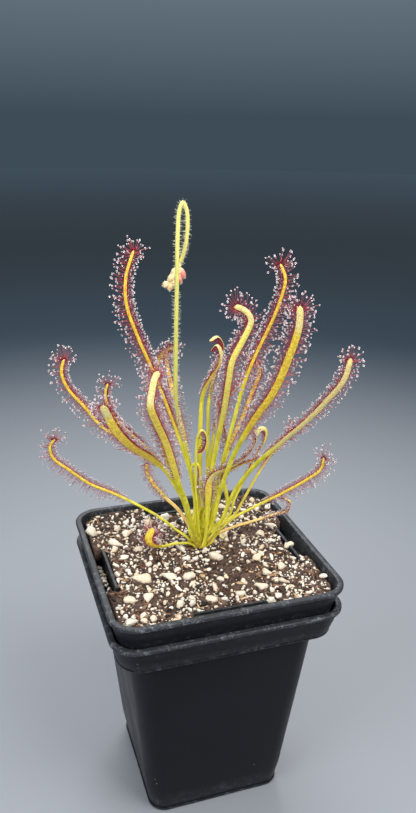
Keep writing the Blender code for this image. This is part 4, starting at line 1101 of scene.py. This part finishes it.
def make_dry_leaf(finish):
    """The withered leaf: a thin crumpled strip on the soil."""
    points = smooth_curve([Vector((x, y, soil_height(x, y) + 0.65 + rise)) for x, y, rise in DRY_LEAF], 0.35)
    rings = []
    for i, point in enumerate(points):
        share = i / (len(points) - 1)
        side = tangent_at(points, i).cross(Vector((0, 0, 1))).normalized()
        half = DRY_HALF * math.sqrt(max(0.03, math.sin(math.pi * min(1.0, share * 0.9 + 0.06))))
        ring = []
        for angle in turns_of(DRY_POINTS):
            a, b = math.cos(angle), math.sin(angle)
            fold = 0.28 * math.sin(a * 5 + share * 9) + 0.25 * abs(a)
            ring.append(point + side * half * a + Vector((0, 0, 0.16 * b + fold)))
        rings.append(ring)
    make_tube("withered_leaf", rings, finish, "withered_leaf", ("dry_leaf",))


# Spines


def compass(angle):
    return Vector((math.cos(math.radians(angle)), math.sin(math.radians(angle)), 0))


def crown_radius(height):
    return CROWN_FOOT_RADIUS + (CROWN_TOP_RADIUS - CROWN_FOOT_RADIUS) * clamp(height / CROWN_TOP)


def crown_point(azimuth, radius, height):
    """A point beside the crown's axis, given from the tuft's point as all spines are."""
    return Vector((CROWN_X - TUFT_X, CROWN_Y - TUFT_Y, height)) + compass(azimuth) * radius


def stations(azimuth, spine):
    """The points of a spine that leans to a compass direction."""
    points = []
    for station in spine:
        reach, rise, side = (*station, 0)[:3]
        points.append(compass(azimuth) * reach + compass(azimuth + 90) * side + Vector((0, 0, rise)))
    return points


def spine_points(azimuth, root, spine):
    """Control points of a leaf or the stalk: two where it leaves the crown, then its stations."""
    root_azimuth, height = root
    if height > CROWN_TOP:
        start = crown_point(root_azimuth, TOP_ROOT_RADIUS, height)
        leave = Vector((0, 0, 2.0))
    else:
        start = crown_point(root_azimuth, crown_radius(height) + ROOT_GAP, height)
        leave = compass(root_azimuth) * 1.1 + Vector((0, 0, 0.9))
    return [start, start + leave] + stations(azimuth, spine)


def sheath_points(root):
    """The leaf's base: it runs up the crown's side from the soil to where the leaf leaves it."""
    azimuth, height = root
    top = min(height, CROWN_TOP) - 1.0
    steps = max(1, round((top - SHEATH_FOOT) / SHEATH_STEP))
    made = []
    for step in range(steps):
        z = SHEATH_FOOT + (top - SHEATH_FOOT) * step / steps
        radius = crown_radius(z) * (0.72 + 0.28 * step / steps) - 0.35
        made.append(crown_point(azimuth, radius, z))
    return made


def smooth_curve(points, step):
    """A centripetal Catmull-Rom curve through the points, read about every step."""
    ends = [points[0] * 2 - points[1]] + list(points) + [points[-1] * 2 - points[-2]]
    curve = []
    for a, b, c, d in zip(ends[:-3], ends[1:-2], ends[2:-1], ends[3:]):
        t1 = math.sqrt((b - a).length)
        t2 = t1 + math.sqrt((c - b).length)
        t3 = t2 + math.sqrt((d - c).length)
        count = max(2, round((c - b).length / step))
        for i in range(count):
            t = t1 + (t2 - t1) * i / count
            ab = a.lerp(b, t / t1)
            bc = b.lerp(c, (t - t1) / (t2 - t1))
            cd = c.lerp(d, (t - t2) / (t3 - t2))
            abc = ab.lerp(bc, t / t2)
            bcd = bc.lerp(cd, (t - t1) / (t3 - t1))
            curve.append(abc.lerp(bcd, (t - t1) / (t2 - t1)))
    curve.append(points[-1].copy())
    return curve


def length_of(points):
    return sum((b - a).length for a, b in zip(points[:-1], points[1:]))


def tangent_at(points, i):
    return (points[min(i + 1, len(points) - 1)] - points[max(i - 1, 0)]).normalized()


def blade_turn(share, turns):
    """How far a leaf's section is turned about its own line, in radians."""
    start, end = turns
    if share < TURN_BY:
        ease = share / TURN_BY
        return math.radians(start) * ease * ease * (3 - 2 * ease)
    return math.radians(start + (end - start) * (share - TURN_BY) / (1 - TURN_BY))


def frames(curve, azimuth, root_azimuth, turns=(0, 0), sheath=0.0):
    """The curve's points in the frame's axes, each with its directions and the length up to it."""
    made = []
    length = 0.0
    total = length_of(curve)
    for i, point in enumerate(curve):
        tangent = tangent_at(curve, i)
        if i:
            length += (point - curve[i - 1]).length
        out = max(0.0, length - sheath)
        side = compass(root_azimuth + 90).lerp(compass(azimuth + 90), min(1.0, out / ROOT_EASE))
        if side.length < 0.2:
            side = compass(azimuth + 90)
        side = (side - tangent * side.dot(tangent)).normalized()
        side = Matrix.Rotation(blade_turn(out / (total - sheath), turns), 3, tangent) @ side
        made.append(Station(point + TUFT, tangent, side, tangent.cross(side), length))
    return made


def smoothstep(value, low, high):
    share = clamp((value - low) / (high - low))
    return share * share * (3 - 2 * share)


# Leaves


def leaf_section(share, length, left, leaf, sheath):
    """Half width, half thickness and how far the blade is opened, at a length along the leaf."""
    opened = smoothstep(share, leaf.blade_from, leaf.blade_from + BLADE_OPENS)
    out = max(0.0, length - sheath)
    petiole = min(PETIOLE_WIDTH, leaf.width * PETIOLE_SHARE)
    petiole = ROOT_WIDTH + (petiole - ROOT_WIDTH) * min(1.0, out / ROOT_STRETCH)
    if sheath:
        petiole += (SHEATH_WIDTH - ROOT_WIDTH) * (1 - smoothstep(length, sheath * 0.6, sheath + 4.0))
    width = petiole + (leaf.width * BLADE_SHARE - petiole) * opened
    width *= 1 - 0.12 * smoothstep(share, 0.8, 1.0)
    thick = PETIOLE_THICK + (BLADE_THICK - PETIOLE_THICK) * opened
    tip = leaf.width * 0.5
    if left < tip:
        width *= math.sqrt(max(0.0, 1 - (1 - left / tip) ** 2))
        thick *= 0.35 + 0.65 * left / tip
    return max(width, LEAST_WIDTH) / 2, thick / 2, opened


def leaf_ring(at, half, thick, opened):
    """Points round a section: flat with a shallow channel on the face and a low rib on the back."""
    ring = []
    for angle in turns_of(RING_POINTS):
        a, b = math.cos(angle), math.sin(angle)
        flat = math.copysign(abs(b) ** 0.7, b)
        channel = 0.20 * (1 - a * a) * (0.6 + 0.4 * opened) if b > 0 else 0.0
        rib = -0.14 * math.exp(-(a / 0.22) ** 2) if b < -0.5 else 0.0
        curl = 0.16 * opened * a * a * half
        rise = thick * flat - channel * thick + rib * thick + curl
        ring.append(at.point + at.side * half * a + at.face * rise)
    return ring


def tentacle_rows(track, leaf, sheath, rng):
    """Root, direction, bend, length and drop size of the tentacles along a leaf."""
    total = track[-1].length
    start = sheath + (total - sheath) * (leaf.blade_from + ROWS_FROM)
    found = []
    lengths = np.array([item.length for item in track])
    for across, pitch, short, long, least_lean, most_lean in TENTACLE_ROWS:
        for hand in (1, -1):
            inner = min(1.0, abs(leaf.ruddy) * 4) if hand * leaf.ruddy > 0 else 0.0
            shrink = 1.0 - (1.0 - INNER_LENGTH) * inner
            at = start + rng.uniform(0, pitch)
            while at < total - ROWS_END:
                share = (at - sheath) / (total - sheath)
                half, thick = leaf_section(share, at, total - at, leaf, sheath)[:2]
                point, tangent, side, face = track[int(np.abs(lengths - at).argmin())][:4]
                edge = side * hand
                lean = rng.uniform(least_lean, most_lean) - (0.9 * inner if across > 0.8 else 0.0)
                direction = edge + face * lean + tangent * rng.uniform(-0.2, 0.45)
                grow = 0.4 + 0.6 * smoothstep(share, leaf.blade_from, leaf.blade_from + ROWS_GROW)
                size = rng.uniform(short, long) * leaf.reach * grow * shrink
                root = point + edge * across * half * 0.92 + face * thick * 0.5
                bend = face * rng.uniform(0.0, 0.28) + tangent * rng.uniform(-0.1, 0.25)
                drop = rng.uniform(0.6, 1.15) * (0.75 + 0.25 * min(1.0, size / 3))
                if share > leaf.folded:
                    direction = face * 1.2 + edge * across * 0.25 - tangent * 0.5
                    size = min(size, FOLDED_LENGTH)
                    drop = 0.0
                found.append((root, direction.normalized(), bend, size, drop))
                at += pitch * rng.uniform(0.7, 1.3) * (1.0 - 0.3 * inner)
    return found


def tip_tentacles(tip, leaf, rng):
    """The long tentacles that fan out round an opened leaf's tip."""
    found = []
    for i in range(TIP_COUNT):
        turn = TIP_SPREAD * (2 * (i + rng.uniform(-0.4, 0.4)) / (TIP_COUNT - 1) - 1)
        spread = tip.tangent * math.cos(turn) + tip.side * math.sin(turn)
        root = tip.point + (spread - tip.tangent) * leaf.width * 0.36
        spread += tip.face * rng.uniform(-1.0, 1.1)
        found.append((root, spread.normalized(), tip.face * rng.uniform(0, 0.3),
                      TIP_LENGTH * leaf.reach * rng.uniform(0.5, 1.05), rng.uniform(0.7, 1.15)))
    return found


def make_tentacles(name, rows, finishes):
    """The stalks with their glands as one piece, and the drops as another."""
    count = len(rows)
    lengths, drops = (np.array([row[i] for row in rows]) for i in (3, 4))
    tubes, tips, ends = many_tubes(rows, TENTACLE_RADII)
    ball, ball_faces = unit_ball(4, 3)
    size = GLAND_RADIUS * (0.85 + 0.15 * np.minimum(1, lengths / 4))
    glands = many_balls(tips, ends, size * 1.45, size, ball)
    faces = tube_faces(TENTACLE_RADII, count) + repeat_faces(ball_faces, len(ball), count, len(tubes))
    tone = np.tile(np.repeat(np.linspace(0, 0.75, len(TENTACLE_RADII)), TUBE_SIDES), count)
    tone = np.concatenate([tone, np.ones(len(glands))])
    make_piece(name + "_tentacles", np.concatenate([tubes, glands]), faces, finishes["tentacle"], "tentacle",
               tone=tone)
    wet = drops > 0
    if not wet.any():
        return
    ball, ball_faces = unit_ball(6, 5)
    size = DROP_RADIUS * drops[wet]
    balls = many_balls(tips[wet] + ends[wet] * 0.12, ends[wet], size * 1.12, size, ball)
    make_piece(name + "_dew", balls, repeat_faces(ball_faces, len(ball), len(size)), finishes["dew"], "dew")


def make_leaf(number, leaf, finishes, rng):
    """A leaf's blade, its tentacles and their drops."""
    name = "leaf_%02d" % (number + 1)
    sheath_part = sheath_points(leaf.root)
    controls = sheath_part + spine_points(leaf.azimuth, leaf.root, leaf.spine)
    sheath = length_of(controls[:len(sheath_part) + 1])
    track = frames(smooth_curve(controls, CURVE_STEP), leaf.azimuth, leaf.root[0], leaf.turns, sheath)
    total = track[-1].length
    rings = []
    looks = {label: [] for label in LEAF_LOOKS}
    for item in track:
        share = max(0.0, (item.length - sheath) / (total - sheath))
        half, thick, opened = leaf_section(share, item.length, total - item.length, leaf, sheath)
        folded = smoothstep(share, leaf.folded - 0.08, leaf.folded + 0.02) if leaf.folded < 1.0 else 0.0
        rings.append(leaf_ring(item, half, thick, opened))
        looks["across"] += [math.cos(angle) for angle in turns_of(RING_POINTS)]
        looks["facing"] += [math.sin(angle) for angle in turns_of(RING_POINTS)]
        values = (item.length / total, opened, folded * opened, leaf.ruddy, leaf.pale, leaf.blush)
        for label, value in zip(LEAF_LOOKS[2:], values):
            looks[label] += [value] * RING_POINTS
    make_tube(name + "_blade", rings, finishes["leaf"], "sundew_leaf", (name,), **looks)
    rows = tentacle_rows(track, leaf, sheath, rng)
    if leaf.folded >= 1.0:
        rows += tip_tentacles(track[-1], leaf, rng)
    make_tentacles(name, rows, finishes)


def make_crown(finish):
    """The stem that the leaf bases clasp: fluted, brown at the soil and green above."""
    rings = []
    along = []
    for ring in range(CROWN_RINGS):
        share = ring / (CROWN_RINGS - 1)
        z = -CROWN_DEPTH + (CROWN_TOP + CROWN_DEPTH) * share
        size = (crown_radius(z) - 0.15) * min(1.0, (1 - share) * 9 + 0.25)
        points = []
        for angle in turns_of(CROWN_POINTS):
            radius = size * (1 + 0.08 * math.cos(8 * angle + share * 2.0))
            x, y = radius * math.cos(angle), radius * math.sin(angle)
            points.append((CROWN_X + x, CROWN_Y + y, SOIL_Z + z))
        rings.append(points)
        along += [max(0.0, z) / 90] * CROWN_POINTS
    looks = {label: [0.0] * len(along) for label in LEAF_LOOKS}
    looks["along"] = along
    make_tube("leaf_bases", rings, finish, "leaf_bases", ("crown",), **looks)


# Flower stalk and buds


def stalk_radius(share):
    return STALK_RADIUS * (1.0 - STALK_TAPER * share)


def make_stalk(finishes, rng):
    """The nodding stalk and its fine hairs."""
    controls = sheath_points(STALK_ROOT) + spine_points(STALK_AZIMUTH, STALK_ROOT, STALK_SPINE)
    track = frames(smooth_curve(controls, 0.6), STALK_AZIMUTH, STALK_ROOT[0])
    total = track[-1].length
    rings = [round_ring(at.point, at.side, at.face, stalk_radius(at.length / total), STALK_POINTS)
             for at in track]
    along = [at.length / total for at in track for i in range(STALK_POINTS)]
    make_tube("stalk", rings, finishes["stalk"], "flower_stalk", ("flower_stalk",), along=along)
    rows = []
    for i in range(STALK_HAIRS):
        share = 0.12 + 0.88 * (i + rng.random()) / STALK_HAIRS
        point, tangent, side, face, length = track[min(len(track) - 1, int(share * len(track)))]
        angle = rng.uniform(0, 2 * math.pi)
        out = side * math.cos(angle) + face * math.sin(angle)
        long = rng.uniform(0.8, 1.4)
        root = point + out * stalk_radius(length / total) * 0.9 + tangent * rng.uniform(-0.3, 0.3)
        direction = (out + tangent * rng.uniform(-0.25, 0.35)).normalized()
        rows.append((root, direction, tangent * rng.uniform(-0.1, 0.2), long))
    make_hairs("stalk_hairs", rows, finishes["hair"], STALK_HAIR_RADIUS)


def make_hairs(name, rows, finish, thick):
    """Fine tapered hairs as one piece."""
    radii = np.array(HAIR_TAPER) * thick
    make_piece(name, many_tubes(rows, radii)[0], tube_faces(radii, len(rows)), finish, "flower_stalk")


def make_buds(finishes, rng):
    """Blunt ribbed buds round the drooping end of the stalk, each at its place in the solids."""
    track = frames(smooth_curve(stations(STALK_AZIMUTH, BUD_SPINE), 0.3), STALK_AZIMUTH, STALK_AZIMUTH)
    rings = []
    for i, at in enumerate(track):
        radius = BUD_AXIS_RADIUS * min(1.0, 0.4 + 0.3 * min(i, len(track) - 1 - i))
        rings.append(round_ring(at.point, at.side, at.face, radius, BUD_AXIS_POINTS))
    verts = all_points(rings)
    tones = [0.1] * len(verts)
    faces = skin_faces(len(rings), BUD_AXIS_POINTS)
    ball, ball_faces = unit_ball(14, 12)
    hairs = []
    for foot, tip, sideways in BUDS:
        low, high = (end + TUFT for end in stations(STALK_AZIMUTH, ((*foot, sideways), (*tip, sideways))))
        direction = (high - low).normalized()
        long = (high - low).length / 2
        first, second = (Vector(rows[0]) for rows in across_axes(np.array([tuple(direction)])))
        faces += repeat_faces(ball_faces, 0, 1, len(verts))
        pink = 1.0 if tip[0] < foot[0] else 0.0
        for x, y, z in ball:
            pinch = 1.0 - 0.30 * max(0.0, z) ** 2
            groove = 1 + 0.07 * math.cos(5 * math.atan2(y, x))
            spot = low.lerp(high, 0.5) + (first * x + second * y) * BUD_RADIUS * 1.08 * pinch * groove
            spot += direction * z * long
            verts.append(tuple(spot))
            tones.append(0.5 + 0.5 * z + pink)
            if rng.random() < 0.4:
                out = (first * x + second * y + direction * z).normalized()
                hairs.append((spot - out * 0.1, out, direction * 0.1, rng.uniform(0.3, 0.6)))
    turn_outward(make_piece("buds", verts, faces, finishes["bud"], "flower_bud", ("flower_buds",),
                            tone=tones))
    make_hairs("bud_hairs", hairs, finishes["hair"], BUD_HAIR_RADIUS)


# Stage


def make_stage():
    """A pale floor, the surround and four soft lights."""
    bpy.ops.mesh.primitive_circle_add(vertices=FLOOR_POINTS, radius=FLOOR_RADIUS, fill_type="NGON",
                                      location=(0, 0, -FLOOR_DROP))
    floor = bpy.context.object
    floor.name = "floor"
    floor.data.materials.append(floor_material())
    make_world()
    for name, place, size, power, colour in LIGHTS:
        lamp = bpy.data.lights.new(name, "AREA")
        lamp.size = size
        lamp.energy = power
        lamp.color = colour
        item = add_object(name, lamp)
        item.location = place
        aim = Vector(LIGHT_AIM) - Vector(place)
        item.rotation_euler = aim.to_track_quat("-Z", "Y").to_euler()


def make_world():
    """A plain grey surround that is brightest overhead, as under a large softbox."""
    world = bpy.data.worlds.new("studio")
    world.use_nodes = True
    tree = world.node_tree
    coordinates = tree.nodes.new("ShaderNodeTexCoord")
    split = tree.nodes.new("ShaderNodeSeparateXYZ")
    ramp = tree.nodes.new("ShaderNodeValToRGB")
    stops = ramp.color_ramp.elements
    stops[1].position = SKY[-1][0]
    for position, colour in SKY[1:-1]:
        stops.new(position)
    for stop, (position, colour) in zip(stops, SKY):
        stop.color = (*colour, 1.0)
    tree.links.new(coordinates.outputs["Generated"], split.inputs["Vector"])
    tree.links.new(split.outputs["Z"], ramp.inputs["Fac"])
    tree.links.new(ramp.outputs["Color"], tree.nodes["Background"].inputs["Color"])
    tree.nodes["Background"].inputs["Strength"].default_value = SKY_STRENGTH
    bpy.context.scene.world = world
    bpy.context.scene.view_settings.view_transform = "Standard"


def make_camera():
    """A camera at the photograph's place and angle."""
    yaw, pitch, roll = CAMERA_YAW, CAMERA_PITCH, CAMERA_ROLL
    forward = Vector((math.sin(yaw) * math.cos(pitch), math.cos(yaw) * math.cos(pitch), -math.sin(pitch)))
    right = Vector((math.cos(yaw), -math.sin(yaw), 0))
    up = right.cross(forward)
    x_axis = right * math.cos(roll) + up * math.sin(roll)
    y_axis = up * math.cos(roll) - right * math.sin(roll)
    place = [value * MM for value in CAMERA_PLACE]
    camera = add_object("camera", bpy.data.cameras.new("camera"))
    camera.data.lens = CAMERA_LENS
    rows = zip(x_axis, y_axis, -forward, place)
    camera.matrix_world = Matrix((*rows, (0, 0, 0, 1)))
    bpy.context.scene.camera = camera


def main():
    make_camera()
    make_stage()
    finishes = {"leaf": leaf_material(), "tentacle": tentacle_material(), "dew": dew_material(),
                "stalk": stalk_material(), "hair": hair_material(), "bud": bud_material()}
    plastic = plastic_material()
    make_pot("outer_pot", 0.0, plastic)
    make_pot("inner_pot", POT_NEST, plastic)
    peat = peat_material()
    make_soil_top(peat)
    make_soil_body(peat)
    make_perlite(perlite_material(), random.Random(11))
    make_clods(clod_material(), random.Random(12))
    chips = chip_material()
    make_chips(chips, random.Random(13))
    make_fibre(chips)
    make_dry_leaf(dry_material())
    make_crown(finishes["leaf"])
    for number, leaf in enumerate(LEAVES):
        make_leaf(number, leaf, finishes, random.Random(100 + number))
    stalk_draws = random.Random(14)
    make_stalk(finishes, stalk_draws)
    make_buds(finishes, stalk_draws)


main()
